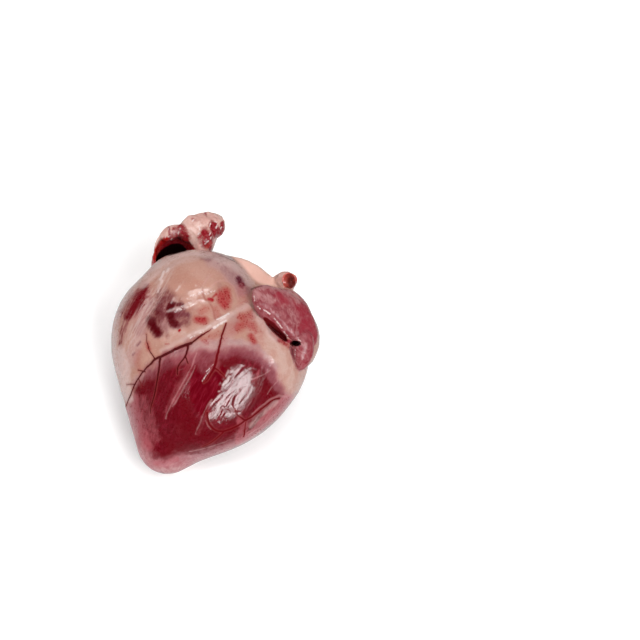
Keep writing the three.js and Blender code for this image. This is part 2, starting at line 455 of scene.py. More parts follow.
RED_VEINS = [
    ([(198, 336), (203, 333), (208, 330), (212, 327)], 0.4, 0.1),
    ([(226, 322), (223, 331), (220, 341), (218, 350), (216, 359), (214, 366)], 0.3, 0.5),
    ([(214, 366), (211, 371), (208, 377), (204, 381)], 0.5, 0.15),
    ([(214, 366), (219, 370), (226, 376)], 0.3, 0.1),
    ([(281, 399), (276, 400), (271, 403), (263, 410), (257, 415), (252, 419), (246, 422)], 0.3, 0.4),
    ([(246, 422), (243, 420), (239, 417), (236, 413)], 0.35, 0.2),
    ([(246, 422), (241, 426), (235, 429), (228, 432), (220, 433), (213, 430), (209, 424),
      (207, 414)], 0.4, 0.3),
    ([(247, 424), (246, 431), (245, 438)], 0.15, 0.25),
    ([(224, 434), (217, 440), (210, 445), (203, 448)], 0.25, 0.1),
]
PALE_STREAKS = [
    ([(196, 352), (192, 363), (186, 374), (180, 385), (174, 396), (169, 406), (166, 413),
      (165, 419)], 0.1, 0.12),
    ([(195, 364), (189, 376), (182, 388), (176, 399), (171, 407)], 0.1, 0.1),
    ([(213, 400), (207, 408), (203, 417), (199, 427), (195, 436)], 0.12, 0.05),
    ([(206, 422), (208, 427), (211, 431)], 0.05, 0.1),
    ([(253, 379), (263, 375), (272, 370)], 0.05, 0.06),
    ([(279, 381), (273, 388), (269, 394)], 0.1, 0.1),
    ([(288, 398), (281, 396), (272, 400), (264, 406), (254, 415)], 0.25, 0.25),
    ([(205, 283), (209, 277), (214, 273), (219, 272), (224, 275), (228, 280)], 0.05, 0.15),
    ([(213, 285), (219, 281), (226, 280), (232, 283), (237, 290), (239, 298)], 0.15, 0.2),
    ([(185, 302), (192, 300), (200, 299), (206, 301)], 0.1, 0.1),
    ([(292, 402), (281, 415), (268, 427), (254, 438), (240, 446)], 0.2, 0.1),
    ([(276, 416), (262, 428), (250, 436)], 0.05, 0.1),
    ([(232, 441), (218, 446), (204, 450), (190, 453)], 0.05, 0.12),
]
SHEATH = [
    (160, 350), (172, 344), (185, 337), (197, 331), (207, 326), (216, 321), (226, 316), (236, 311),
    (248, 305),
]
BAND = [
    (166, 272), (160, 284), (153, 296), (145, 308), (138, 320), (131, 336), (126, 351), (122, 368),
    (119, 385),
]

MUSCLE = [
    (133, 393), (136, 388), (140, 384), (143, 379), (148, 374), (152, 367), (157, 369), (161, 363),
    (165, 360), (170, 357), (176, 357), (181, 360), (186, 361), (190, 358), (195, 357), (200, 355),
    (206, 354), (211, 357), (218, 355), (224, 352), (232, 350), (240, 351), (248, 353), (255, 357),
    (260, 361), (266, 366), (269, 371), (272, 376), (273, 381), (276, 385), (279, 390), (282, 394),
    (281, 397), (275, 400), (269, 404), (262, 410), (254, 417), (247, 424), (240, 432), (230, 440),
    (220, 446), (208, 449), (196, 451), (184, 452), (175, 452), (170, 455), (163, 458), (156, 456),
    (149, 450), (144, 441), (140, 428), (136, 415), (133, 403),
]
LOWER_MUSCLE = [
    (244, 428), (254, 418), (264, 410), (275, 403), (285, 400), (288, 404), (281, 413), (268, 426),
    (256, 434), (246, 437), (234, 440), (226, 441),
]
FAT = [
    (118, 412), (128, 402), (133, 391), (138, 382), (145, 375), (152, 367), (158, 363), (168, 357),
    (178, 355), (190, 353), (200, 349), (210, 349), (220, 350), (230, 347), (242, 348), (254, 351),
    (264, 355), (271, 363), (277, 371), (281, 379), (286, 389), (292, 396), (300, 392), (309, 380),
    (340, 370), (340, 220), (90, 220), (90, 412),
]

# Soft strokes: a route, its half-widths at start and end and the softness of its edge in pixels, its strength
VEIL = [
    ([(133, 398), (138, 415), (143, 432), (148, 446)], 2, 3, 8, 0.6),
    ([(143, 400), (149, 418), (155, 438)], 2, 2.5, 8, 0.42),
    ([(197, 357), (205, 360), (211, 366)], 1, 1, 5, 0.3),
    ([(193, 360), (185, 376), (178, 390), (168, 410)], 1, 0.8, 7, 0.42),
    ([(218, 356), (219, 366), (222, 378)], 0.5, 0.5, 4, 0.25),
    ([(176, 358), (184, 358), (191, 355)], 2.5, 2, 5, 0.5),
    ([(212, 402), (204, 418), (197, 436)], 0.5, 0.5, 3, 0.3),
    ([(264, 362), (260, 370), (254, 381)], 0.5, 0.5, 2.5, 0.4),
    ([(266, 370), (271, 380)], 1.5, 1, 4, 0.35),
    # painted sheen: a pale wash over the main wet highlight
    ([(214, 420), (230, 396), (247, 372)], 6, 6, 7, 0.2),
    ([(176, 430), (186, 424)], 2, 2, 7, 0.15),
    ([(286, 402), (270, 418), (255, 433), (240, 441)], 6, 3, 4, 0.62),
    ([(155, 463), (166, 464), (176, 458)], 1, 1, 5, 0.45),
    ([(240, 420), (244, 428), (240, 437)], 2.5, 2.5, 5, 0.5),
]
HAZE = [
    ([(150, 372), (162, 362), (176, 356), (192, 358), (206, 358)], 3.5, 3.5, 8, 0.62),
    ([(206, 358), (222, 353), (238, 350), (252, 354), (264, 363), (273, 377), (280, 389)], 2.5, 1.2, 6, 0.75),
    ([(166, 354), (176, 350), (186, 346)], 2.5, 2, 4, 0.85),
    ([(205, 366), (213, 362)], 4, 4, 7, 0.6),
    ([(146, 300), (141, 314), (138, 330)], 2.5, 2.5, 7, 0.4),
    ([(186, 340), (196, 338)], 1, 1, 4, 0.5),
]
RIGHT_MUSCLE = [
    ([(146.5, 287.5), (139.5, 297)], 0, 1, 8.5, 1.05),
    ([(131, 295), (124, 306), (120, 316)], 0.5, 0.5, 5, 0.6),
    ([(139.5, 297), (133.5, 307)], 1, 1.2, 9, 1.18),
    ([(133.5, 307), (127, 318)], 1.2, 0, 9, 1.02),
    ([(129, 315), (124, 327), (120, 342)], 0.6, 0.4, 6, 0.45),
    ([(144, 292), (136, 306), (127, 318), (119, 344), (119, 366)], 3, 2, 8, 0.2),
    ([(131, 294), (122, 310), (117, 330)], 1, 1, 6, 0.15),
]
BRUISES = [
    ([(164, 297), (159, 309), (154, 325)], 5, 4, 12, 0.62),
    ([(172, 302), (180, 314), (184, 320)], 5, 4, 10, 0.5),
    ([(151.5, 320), (153, 326), (157, 332)], 0.2, 0, 11, 1.2),
    ([(158, 317), (159, 326)], 0.6, 0.4, 9, 0.7),
    ([(165, 299), (160, 307), (156, 316)], 1.5, 1.5, 10, 0.75),
    ([(169.5, 308), (172, 304.5)], 0.2, 0.2, 7.5, 1.15),
    ([(172, 304), (182, 304.5)], 0.4, 0.3, 4, 0.75),
    ([(170.5, 315), (171, 319), (175, 324)], 0.4, 0.2, 9.5, 1.05),
    ([(190, 312), (197, 309)], 0.8, 0.4, 5, 0.3),
    ([(165, 316), (165, 328), (167, 335)], 1, 0.6, 6, 0.4),
    ([(149, 313), (146, 324), (147, 332)], 0.8, 0.6, 7, 0.35),
    ([(266, 321), (271, 331), (278, 339), (286, 344)], 0.8, 0.8, 3.5, 0.55),
]
PURPLES = [
    ([(172, 315), (173, 321), (177, 325)], 1, 0.8, 8, 0.8),
    ([(176, 315), (183, 313), (188, 315)], 0.8, 0.6, 7.5, 0.75),
    ([(178, 321), (186, 319)], 2, 1, 8, 0.45),
    ([(161, 307), (164, 315), (163, 324)], 1.5, 1.5, 8, 0.5),
    ([(239, 279), (241, 284)], 0.8, 0.8, 7.5, 1),
    ([(235, 276), (243, 288)], 3, 3, 11, 0.4),
    ([(203, 257), (209, 259)], 1.2, 0.8, 6, 0.5),
    ([(213, 256), (221, 256)], 1, 0.8, 5, 0.45),
    ([(226, 270), (232, 278)], 1.5, 1.5, 7, 0.35),
    ([(218, 263), (223, 261)], 0.3, 0.2, 2, 0.5),
    ([(220, 285), (221, 289)], 0.8, 0.8, 4, 0.35),
    ([(137, 345), (140, 342)], 0.3, 0.2, 2.4, 0.55),
    ([(133, 355), (135, 353)], 0.3, 0.24, 2.2, 0.5),
]
BLOOD = [
    ([(221, 295), (222, 301), (226, 306)], 1.4, 1, 7, 1.1),
    ([(260, 320), (262, 332), (258, 345)], 2, 2, 8, 0.2),
    ([(226, 291), (228, 302)], 1, 1, 6, 1),
    ([(216, 309), (217, 315)], 0.6, 0.6, 6, 0.5),
    ([(198, 320), (204, 320)], 0.8, 1.2, 6.5, 1.1),
    ([(201, 312), (206, 309)], 0.6, 0.6, 6, 0.5),
    ([(242, 318), (252, 316)], 1.2, 1.2, 8, 0.8),
    ([(238, 327), (246, 323), (253, 326)], 1.2, 1, 8, 0.85),
    ([(231, 331), (238, 328)], 0.6, 0.6, 7, 0.4),
    ([(251.5, 335), (254, 342)], 0.8, 0.8, 5.5, 1),
    ([(256, 325), (256, 332)], 0.6, 0.6, 4, 0.7),
    ([(243, 288), (246, 299), (244, 308)], 2, 2, 9, 0.35),
    ([(251, 291), (251, 300)], 0.6, 0.6, 4, 0.3),
    ([(206, 342), (202, 339)], 0.6, 0.6, 4, 0.5),
    ([(218, 334), (208, 338)], 1, 1, 6, 0.4),
    ([(230, 326), (222, 342)], 1, 1, 6, 0.3),
    ([(140, 352), (137, 362), (141, 372)], 0.4, 0.4, 5, 0.3),
    ([(147, 344), (149, 350)], 0.4, 0.4, 4, 0.6),
    ([(275, 333), (283, 342), (289, 346)], 1.2, 1.2, 4, 0.7),
    ([(249, 283), (249, 300)], 0.6, 0.6, 4, 0.3),
]
RED_SPOTS = [
    ([(208.5, 299), (212, 300)], 0.3, 0.9, 2.2, 1.1),
    ([(213, 297), (216, 294)], 0.4, 0.4, 1.5, 0.8),
    ([(179, 331), (180, 330)], 0.5, 0.5, 1.2, 1),
    ([(166, 344), (169, 344)], 0.2, 0.2, 1.2, 0.6),
    ([(148, 348), (149, 349)], 0.3, 0.3, 1.2, 0.8),
]
CREAM = [
    ([(262, 322), (275, 345), (288, 365), (297, 385)], 9, 9, 12, 0.9),
    ([(282, 350), (296, 384)], 7, 7, 8, 1),
    ([(166, 338), (174, 333), (182, 333)], 3, 3, 6, 0.9),
    ([(188, 333), (203, 330)], 1.5, 1.5, 5, 0.7),
    ([(122, 378), (125, 394)], 3, 3, 6, 0.8),
    ([(245, 306), (262, 316)], 3, 3, 6, 0.6),
    ([(252, 268), (244, 262)], 3, 3, 5, 0.6),
]
MAUVE = [
    ([(212, 260), (226, 264), (238, 274)], 3, 6, 9, 0.8),
    ([(236, 272), (244, 288)], 6, 5, 7, 0.8),
    ([(150, 302), (144, 318), (140, 334), (136, 350), (130, 364)], 3, 2, 7, 0.55),
    ([(166, 302), (172, 312), (166, 324)], 5, 5, 7, 0.55),
    ([(160, 361), (172, 356), (184, 351), (196, 347), (210, 344)], 3, 3, 5, 0.8),
    ([(212, 346), (226, 343), (240, 345), (254, 350), (266, 358), (272, 368)], 3, 3, 6, 0.9),
    ([(136, 384), (148, 372)], 2, 2, 5, 0.7),
    ([(233, 320), (228, 334), (224, 344)], 3, 4, 6, 0.5),
    ([(123, 402), (127, 396)], 3, 3, 6, 0.5),
]
# Painted shade: dark lines in the creases beside the auricle and its lobe, and the dark notch between them
CREASE_SHADE = [
    ([(292.3, 343.6), (298.5, 341.6)], 1.7, 0, 1.4, 1.2),
    ([(292.4, 347), (292.8, 356), (297.5, 366)], 0.1, 0.2, 1.2, 0.35),
    ([(251.5, 289), (255, 287.5), (262, 286)], 0.4, 0.2, 1.3, 0.6),
    ([(252, 290), (251.5, 299), (254, 304)], 0.3, 0.1, 1.4, 0.2),
]
LEAF_EDGE = [
    ([(286, 288), (296, 291), (306, 301), (313, 315), (318, 330), (319, 345), (314, 356),
      (306, 366)], 2, 3, 2, 1),
    ([(292.6, 346), (293.4, 352), (295, 359)], 0.8, 0.6, 1.4, 1),
    ([(287, 340.5), (291, 342)], 1.2, 1.2, 1.6, 1),
]
LEAF_RED = [
    ([(284, 337), (292, 342)], 1.5, 1.5, 3, 0.9),
    ([(309, 306), (316, 322), (318, 340), (312, 354)], 2, 2, 5, 0.7),
    ([(298, 350), (304, 362)], 3, 3, 6, 0.5),
    ([(279, 295), (285, 302)], 2, 2.5, 4, 0.9),
    ([(276, 303), (281, 305)], 1, 1, 3, 0.6),
    ([(298, 300), (306, 318), (312, 334)], 3, 3, 7, 0.75),
    ([(302, 328), (310, 330)], 3, 2, 4, 0.9),
    ([(272, 322), (284, 334), (290, 336)], 1, 1.5, 4, 0.35),
    ([(296, 364), (302, 368)], 1, 1, 4, 0.6),
    ([(310, 352), (314, 342)], 1, 1, 5, 0.5),
]
# Pale marbling on the auricle; the strokes along its top edge and along its lobe's left edge are painted rim
# light
LEAF_PALE = [
    ([(256, 294), (266, 297), (274, 300)], 2.5, 1.5, 5, 0.7),
    ([(284, 306), (291, 314), (296, 324)], 1.5, 1.5, 4, 0.5),
    ([(290, 292), (298, 300)], 2, 2, 4, 0.7),
    ([(297, 332), (302, 345), (301, 356)], 1.5, 2, 4, 0.35),
    ([(273, 308), (278, 312)], 1, 1, 3, 0.5),
    ([(258, 288), (270, 286), (284, 289)], 1.2, 1.2, 3, 0.7),
    ([(296, 344), (297, 358), (301, 370)], 1, 1, 3, 0.45),
]
SHINE = [
    ([(214, 420), (230, 396), (247, 368)], 9, 9, 6, 1),
    ([(205, 382), (212, 364)], 4, 4, 4, 0.8),
    ([(220, 384), (232, 364)], 4, 4, 4, 0.9),
    ([(184, 296), (204, 295), (215, 291)], 5, 5, 5, 1),
    ([(170, 312), (190, 305)], 3, 3, 4, 0.7),
    ([(214, 326), (228, 318)], 2.5, 2.5, 3, 1),
]
# Thin ridges in the relief; their pale tint is part fibrous membrane and part painted highlight
RIDGES = [
    ([(203, 380), (207, 373), (213, 364)], 0, 0, 1.2, 0.35),
    ([(219, 385), (225, 377), (231, 366)], 0, 0.1, 1.3, 0.9),
    ([(223, 385), (229, 376), (233, 370)], 0.3, 0.3, 1.6, 1.1),
    ([(219, 391), (224, 386), (229, 379)], 0.2, 0.2, 1.5, 0.9),
    ([(167, 273), (170, 266)], 0.5, 0.5, 1.6, 1.3),
    ([(161, 280), (164, 272)], 0.5, 0.4, 1.6, 1.3),
    ([(157, 296), (160, 287), (163, 281)], 0.2, 0.2, 1.6, 1),
    ([(176, 291), (180, 286), (183, 281)], 0.2, 0.2, 1.6, 1.1),
    ([(171, 303), (174, 298)], 0, 0.1, 1.4, 0.7),
    ([(167, 312), (174, 309), (184, 306), (194, 302), (203, 300)], 0.3, 0.3, 1.8, 1),
    ([(178, 311), (188, 306), (197, 303)], 0.3, 0.2, 1.6, 0.9),
    ([(196, 285), (201, 288)], 0.3, 0.2, 1.4, 1),
    ([(188, 336), (200, 331), (210, 326)], 0.2, 0.3, 1.6, 0.9),
    ([(216, 323), (222, 319), (230, 314)], 0.6, 0.5, 1.8, 1.3),
    ([(212, 328), (219, 325), (226, 321)], 0.4, 0.4, 1.6, 1.2),
    ([(261, 309), (268, 316), (276, 326), (284, 334)], 0.2, 0.2, 1.4, 0.9),
]
GROOVES = [
    ([(223, 408), (226, 411), (230, 412)], 0.8, 0.6, 2, 1.2),
    ([(219, 392), (226, 387), (231, 382), (236, 374), (242, 367)], 0.5, 0.3, 2.2, 0.9),
    ([(226, 397), (233, 391), (240, 387), (250, 384)], 0.2, 0.4, 1.8, 0.6),
    ([(232, 401), (234, 396), (239, 391)], 0.5, 0.4, 2, 0.8),
    ([(219, 421), (222, 416), (227, 409), (232, 401)], 0.2, 0.5, 2.2, 1),
    ([(232, 401), (232, 408), (237, 413)], 0.5, 0.5, 2.2, 0.9),
    ([(208, 412), (214, 403), (221, 396)], 0.3, 0.3, 2, 0.7),
    ([(223, 413), (230, 411), (238, 413)], 0.5, 0.5, 2.2, 0.9),
    ([(241, 404), (247, 397), (252, 388)], 0.2, 0.2, 1.6, 0.5),
    ([(240, 377), (246, 372)], 0.3, 0.3, 2, 0.6),
    ([(203, 286), (205, 294), (206, 299)], 0.1, 0.1, 2, 0.9),
]
# Painted glints: small near-white highlights painted into the colour on the conus, the sheath, the auricle's
# edge and the cut stump
PAINTED_GLINTS = [
    ([(203.5, 379), (206, 375), (210, 370)], 0, 0, 1.3, 0.7),
    ([(206, 371), (213, 364)], 0, 0, 1.2, 0.6),
    ([(202, 381), (204, 378)], 0, 0, 1.2, 0.7),
    ([(188, 297.5), (195, 295), (203, 292.5)], 0.5, 0.5, 3, 0.5),
    ([(206, 294), (214, 290)], 0.4, 0.6, 3, 0.55),
    ([(175, 311), (182, 308)], 0.4, 0.2, 2.5, 0.65),
    ([(181, 306), (190, 302), (204, 299)], 0, 0, 1.6, 0.5),
    ([(184, 309), (194, 304.5), (203, 302)], 0, 0, 1.6, 0.45),
    ([(217, 320), (223, 317), (229, 314)], 0.2, 0, 2, 0.95),
    ([(214, 327.5), (220, 324), (226, 321)], 0.2, 0, 2, 0.95),
    ([(221, 319), (225, 318)], 0, 0, 1.6, 0.8),
    ([(190, 338), (195, 335.5)], 0, 0, 1.4, 0.8),
    ([(199, 333.5), (204, 331)], 0, 0, 1.4, 0.8),
    ([(254, 296), (254.5, 301)], 0, 0, 1.4, 0.7),
    ([(257, 306), (260, 309)], 0, 0, 1.4, 0.8),
    ([(264, 310), (270, 314)], 0.1, 0, 1.5, 1),
    ([(274, 318), (282, 328)], 0, 0, 1.4, 0.8),
    ([(284, 331), (287.5, 335.5)], 0, 0, 1.4, 0.8),
    ([(295, 350), (295.5, 356)], 0, 0, 1.4, 0.7),
    ([(298, 339.5), (301, 341)], 0, 0, 1.4, 0.7),
    ([(192, 221), (194, 219)], 0.2, 0, 1.2, 1),
    ([(210, 226), (211, 223)], 0.1, 0, 1.2, 1),
    ([(215, 221), (217, 222)], 0.2, 0, 1.2, 1),
    ([(216, 228), (218, 224)], 0.2, 0, 1.2, 1),
    ([(221, 229), (222, 227)], 0.1, 0, 1.2, 0.9),
    ([(199, 227), (199.5, 230)], 0.1, 0, 1.2, 1),
    ([(198, 234), (200, 232)], 0.2, 0, 1.2, 1),
    ([(192, 237), (193, 235)], 0.1, 0, 1.2, 0.8),
    ([(189, 229), (192, 229)], 0, 0, 1.2, 0.8),
    ([(209, 235), (210, 233)], 0.1, 0, 1.2, 1),
    ([(210, 239), (211, 237)], 0.1, 0, 1.2, 1),
    ([(205, 244), (208, 241)], 0.3, 0, 1.2, 1.1),
    ([(178, 234), (179, 231)], 0.1, 0, 1.2, 0.8),
    ([(168, 237), (170, 236)], 0.2, 0, 1.2, 1),
    ([(171, 240), (172, 238)], 0.1, 0, 1.2, 0.9),
    ([(165, 238), (166, 236)], 0.1, 0, 1.2, 0.9),
    ([(168, 230), (169, 228)], 0.1, 0, 1.2, 0.8),
]
# A pale milky membrane, with painted rim sheen along the heart's edges, a painted highlight over the sheath
# and painted light that evens out the shadow under the auricle's edge
MILKY_AND_SHEEN = [
    ([(131, 404), (134, 424), (139, 443), (147, 459)], 1.2, 1.5, 6, 0.1),
    ([(155, 468), (168, 472), (182, 468)], 0.8, 0.8, 4, 0.2),
    ([(196, 464), (220, 457), (244, 446), (262, 434)], 0.8, 0.8, 4, 0.3),
    ([(116, 314), (113, 330), (114, 350), (118, 370)], 1, 1, 5, 0.8),
    ([(160, 264), (148, 271), (138, 281), (127, 294), (119, 307)], 1.4, 1, 6, 0.9),
    ([(160, 270), (150, 278), (141, 286)], 1.5, 1, 5, 0.7),
    ([(166, 267), (180, 261), (195, 258)], 1, 1, 5, 0.5),
    ([(158, 266), (168, 258), (180, 254), (196, 252), (212, 254)], 1.4, 1.2, 6, 1),
    ([(216, 257), (230, 262), (243, 272), (250, 282)], 1.2, 1.2, 6, 0.7),
    ([(121, 352), (123, 366), (126, 384), (129, 398)], 2.8, 1, 6, 0.95),
    ([(276, 402), (262, 415), (250, 426)], 0.6, 0.6, 3, 0.4),
    ([(211, 328), (221, 320), (231, 314)], 1, 1, 3, 0.4),
    ([(256, 314), (266, 328), (276, 339)], 1.2, 1.2, 4, 0.55),
]
DULL = [
    ([(196, 358), (206, 362), (213, 368)], 7, 7, 6, 0.9),
    ([(196, 368), (200, 380), (197, 394), (203, 408)], 9, 5, 6, 1),
    ([(217, 368), (222, 377), (217, 388), (209, 397)], 5.5, 4, 3, 1),
    ([(207, 372), (210, 382), (206, 392)], 5, 5, 3, 1),
    ([(258, 366), (256, 374), (255, 383)], 2, 2, 4, 0.8),
    ([(220, 354), (234, 351), (246, 350)], 5, 3, 5, 0.9),
    ([(225, 379), (221, 388)], 1.5, 1.5, 3, 0.9),
    ([(222, 411), (234, 411)], 1, 1, 3, 0.6),
    ([(216, 421), (224, 418)], 1, 1, 3, 0.6),
    ([(226, 370), (228, 378)], 2, 2, 3, 0.9),
    ([(150, 440), (175, 448), (210, 444), (235, 432)], 6, 6, 10, 0.5),
    ([(128, 440), (140, 460), (160, 470), (190, 466), (230, 452)], 3, 3, 5, 0.4),
    ([(124, 404), (129, 424), (135, 444)], 2, 3, 4, 0.5),
    ([(186, 306), (200, 305), (206, 312)], 1.5, 2, 4, 0.7),
    ([(194, 282), (202, 283), (209, 285)], 1.5, 2, 3, 0.9),
    ([(178, 292), (184, 288), (192, 286)], 2, 2, 4, 0.9),
    ([(184, 301), (193, 300), (204, 296)], 3, 3, 3, 0.45),
    ([(215, 326), (224, 321)], 3, 2, 4, 0.4),
]
RIM_RED = [
    ([(153.5, 268), (154.5, 257), (156, 251), (159, 246)], 1.4, 0.8, 3, 1),
    ([(158, 250), (161, 243), (166, 239)], 0.8, 0.8, 3, 0.9),
    ([(185, 241), (191, 248)], 0.6, 0.6, 3, 0.5),
    ([(207, 248), (211, 243)], 0.6, 0.6, 2.5, 0.6),
]
# Painted shade deep in the small vessel's opening
SMALL_HOLE_SHADE = [([(291, 280), (294, 287)], 1, 2, 6, 1.1)]
# The large vessel's bore, painted near black as shade
LUMEN_SHADE = [
    (152, 270), (154, 262), (157.5, 254.5), (164, 248), (172, 244), (180, 243.5), (185, 247), (187, 256),
    (175, 270),
]
STUMP_RED = [
    ([(157, 264), (161, 256), (168, 249)], 2.5, 3, 4.5, 1.1),
    ([(166, 244), (174, 242), (184, 243), (190, 251)], 3, 3, 4.5, 1.1),
    ([(181, 228), (183, 238)], 1.8, 3.5, 6, 0.95),
    ([(175, 229), (175, 236)], 1.2, 2.4, 3, 0.8),
    ([(169, 228), (170, 236)], 0.3, 1, 2, 0.8),
    ([(166, 239), (168, 241)], 0.4, 0.8, 2.5, 0.5),
    ([(212, 221), (214, 225)], 0.5, 0.8, 2.5, 0.8),
    ([(213, 225), (215, 230), (218, 233)], 1.5, 3.2, 4.5, 1.2),
    ([(222, 224), (223, 231)], 1, 1.2, 2.5, 0.9),
    ([(154, 262), (155.5, 252), (159, 244)], 0.3, 0.3, 2, 0.4),
    ([(204, 232), (208, 236), (207, 243)], 1.6, 2.2, 6, 1),
    ([(200, 236), (204, 245)], 1, 1.5, 5, 0.7),
    ([(209, 243), (210, 249)], 1.6, 1.2, 2.5, 0.9),
    ([(192, 219), (195, 221)], 0.5, 0.5, 2, 0.5),
    ([(203, 213), (206, 216)], 0.4, 0.4, 1.5, 0.6),
]


def spaced(points, gap=1.0):
    """Points along a smooth curve through the given ones, about `gap` pixels apart."""
    p = np.array(points, float)
    p = np.vstack([2 * p[0] - p[1], p, 2 * p[-1] - p[-2]])
    out = []
    for a, b, c, d in zip(p[:-3], p[1:-2], p[2:-1], p[3:]):
        n = max(2, int(np.hypot(*(c - b)) / gap))
        t = np.linspace(0, 1, n, endpoint=False)[:, None]
        bend = (2 * a - 5 * b + 4 * c - d) * t**2 + (3 * b - a - 3 * c + d) * t**3
        out.append(0.5 * (2 * b + (c - a) * t + bend))
    return np.vstack(out + [p[-2:-1]])


def inside_by(points, uv):
    """How far inside a closed outline each pixel place is, negative outside."""
    ring = spaced(list(points) + [points[0]], 3.0)
    best = np.full(len(uv), 1e9)
    inside = np.zeros(len(uv), bool)
    for a, b in zip(ring[:-1], ring[1:]):
        ab = b - a
        t = np.clip(((uv - a) @ ab) / max(ab @ ab, 1e-9), 0, 1)
        best = np.minimum(best, np.hypot(*(uv - a - t[:, None] * ab).T))
        spans = (a[1] > uv[:, 1]) != (b[1] > uv[:, 1])
        inside ^= spans & (uv[:, 0] < ab[0] * (uv[:, 1] - a[1]) / (ab[1] if ab[1] else 1e-9) + a[0])
    return np.where(inside, best, -best)


def brushed(table, uv):
    """The strength of soft strokes at each pixel place."""
    total = np.zeros(len(uv))
    for points, start, end, softness, strength in table:
        route = np.array(points, float)
        reach = max(start, end) + softness
        close = np.nonzero(((uv > route.min(0) - reach) & (uv < route.max(0) + reach)).all(1))[0]
        count = len(route) - 1
        level = np.zeros(len(close))
        for k in range(count):
            a, b = route[k], route[k + 1]
            ab = b - a
            t = np.clip(((uv[close] - a) @ ab) / (ab @ ab), 0, 1)
            away = np.hypot(*(uv[close] - a - t[:, None] * ab).T)
            half = start + (end - start) * (k + t) / count
            level = np.maximum(level, 1 - smooth(0, 1, (away - half) / softness))
        total[close] = np.maximum(total[close], strength * level)
    return total


class Skin:
    """The surface's points, their places in the photograph, noise that shifts those, and drawn features."""

    def __init__(self, mesh):
        self.p = read_points(mesh.vertices, "co")
        self.n = read_points(mesh.vertex_normals, "vector")
        self.uv = View.pixels(self.p)
        self.facing = View.facing(self.p, self.n)
        self.face = (self.p - FACE_MIDDLE) @ FACE
        self.seen = np.nonzero(self.facing > 0.02)[0]
        self.warp = np.stack([fractal(self.p, 8, 3, 40), fractal(self.p, 8, 3, 50)], -1)
        self.small_warp = np.stack([fractal(self.p, 3, 2, 42), fractal(self.p, 3, 2, 52)], -1)

    def lift(self, route):
        """The surface points below a route of pixel places."""
        uv, depth = self.uv[self.seen], self.face[self.seen, 2]
        found = []
        for place in route:
            away = np.hypot(*(uv - place).T)
            close = away < max(1.6, away.min() + 0.1)
            found.append(self.seen[np.nonzero(close)[0][np.argmax(depth[close])]])
        route3d = self.p[found]
        for _ in range(3):
            route3d[1:-1] = (route3d[:-2] + 2 * route3d[1:-1] + route3d[2:]) / 4
        return route3d

    def along(self, route3d, start, end, reach=FAR):
        """Half-width less distance to a route on the surface, in millimetres, down to -reach."""
        best = np.full(len(self.p), -reach)
        low, high = route3d.min(0) - reach, route3d.max(0) + reach
        near = np.nonzero(((self.p > low) & (self.p < high)).all(1))[0]
        count = len(route3d) - 1
        for k in range(count):
            a, b = route3d[k], route3d[k + 1]
            ab = b - a
            t = np.clip(((self.p[near] - a) @ ab) / max(ab @ ab, 1e-9), 0, 1)
            d = np.linalg.norm(self.p[near] - a - t[:, None] * ab, axis=1)
            half = start + (end - start) * (k + t) / count
            best[near] = np.maximum(best[near], half - d)
        return best

    def drawn(self, features):
        best = np.full(len(self.p), -FAR)
        for points, start, end in features:
            best = np.maximum(best, self.along(self.lift(spaced(points)), start, end))
        return best


# The finished surface: relief and the measures that its material reads

# Where the front wall is a little flatter: its middle in the face frame, its long way, half sizes and depth
FLAT_MIDDLE = (10.6, -24.5)
FLAT_WAY = 54.0
FLAT_HALF = (6.5, 16.0)
FLAT_DEPTH = 0.45
BROAD_HALF = 20.0
BROAD_DEPTH = 0.7

# Heights of the relief in millimetres
FAT_LUMPS = 0.40
FAT_DIMPLES = 0.10
MUSCLE_FIBRES = 0.08
SKIN_FOLDS = 0.05
SHINE_LUMPS = 0.05
SHINE_WAVES = 0.03
RIDGE_HEIGHT = 0.13
GROOVE_DEPTH = 0.17
VEIN_HEIGHT = 0.07
STREAK_HEIGHT = 0.03
SHEATH_HEIGHT = 0.32
BAND_HEIGHT = 0.30
LEAF_LUMPS = 0.45
LEAF_FOLDS = 0.10
CUT_LUMPS = 0.9
CUT_GRAIN = 0.45
WALL_LUMPS = 0.25

# How far from its edge the depth in a field of fat or muscle is followed, in millimetres
FAT_DEEP = 5
MUSCLE_DEEP = 6


def flattened(face):
    """How far the front wall lies below its round form, in millimetres."""
    c, s = math.cos(math.radians(FLAT_WAY)), math.sin(math.radians(FLAT_WAY))
    x, y = face[:, 0] - FLAT_MIDDLE[0], face[:, 1] - FLAT_MIDDLE[1]
    across, along = (x * s - y * c), (x * c + y * s) / FLAT_HALF[1]
    narrow = FLAT_DEPTH * np.exp(-((across / FLAT_HALF[0]) ** 2) - along**2)
    return narrow + BROAD_DEPTH * np.exp(-((across / BROAD_HALF) ** 2) - along**2)


def facing_line(p, n, a, b):
    """1 where the surface faces the line from a to b, 0 where it faces away."""
    a, b = np.array(a, float), np.array(b, float)
    t = np.clip(((p - a) @ (b - a)) / ((b - a) @ (b - a)), 0, 1)
    way = a + t[:, None] * (b - a) - p
    return smooth(0.0, 0.4, (way * n).sum(1) / np.linalg.norm(way, axis=1))


def swung(face, across, up):
    """Places in the face frame, turned about the way out of the face."""
    x, y = face[:, 0], face[:, 1]
    return np.stack([x * across - y * up, x * up + y * across, face[:, 2]], -1)


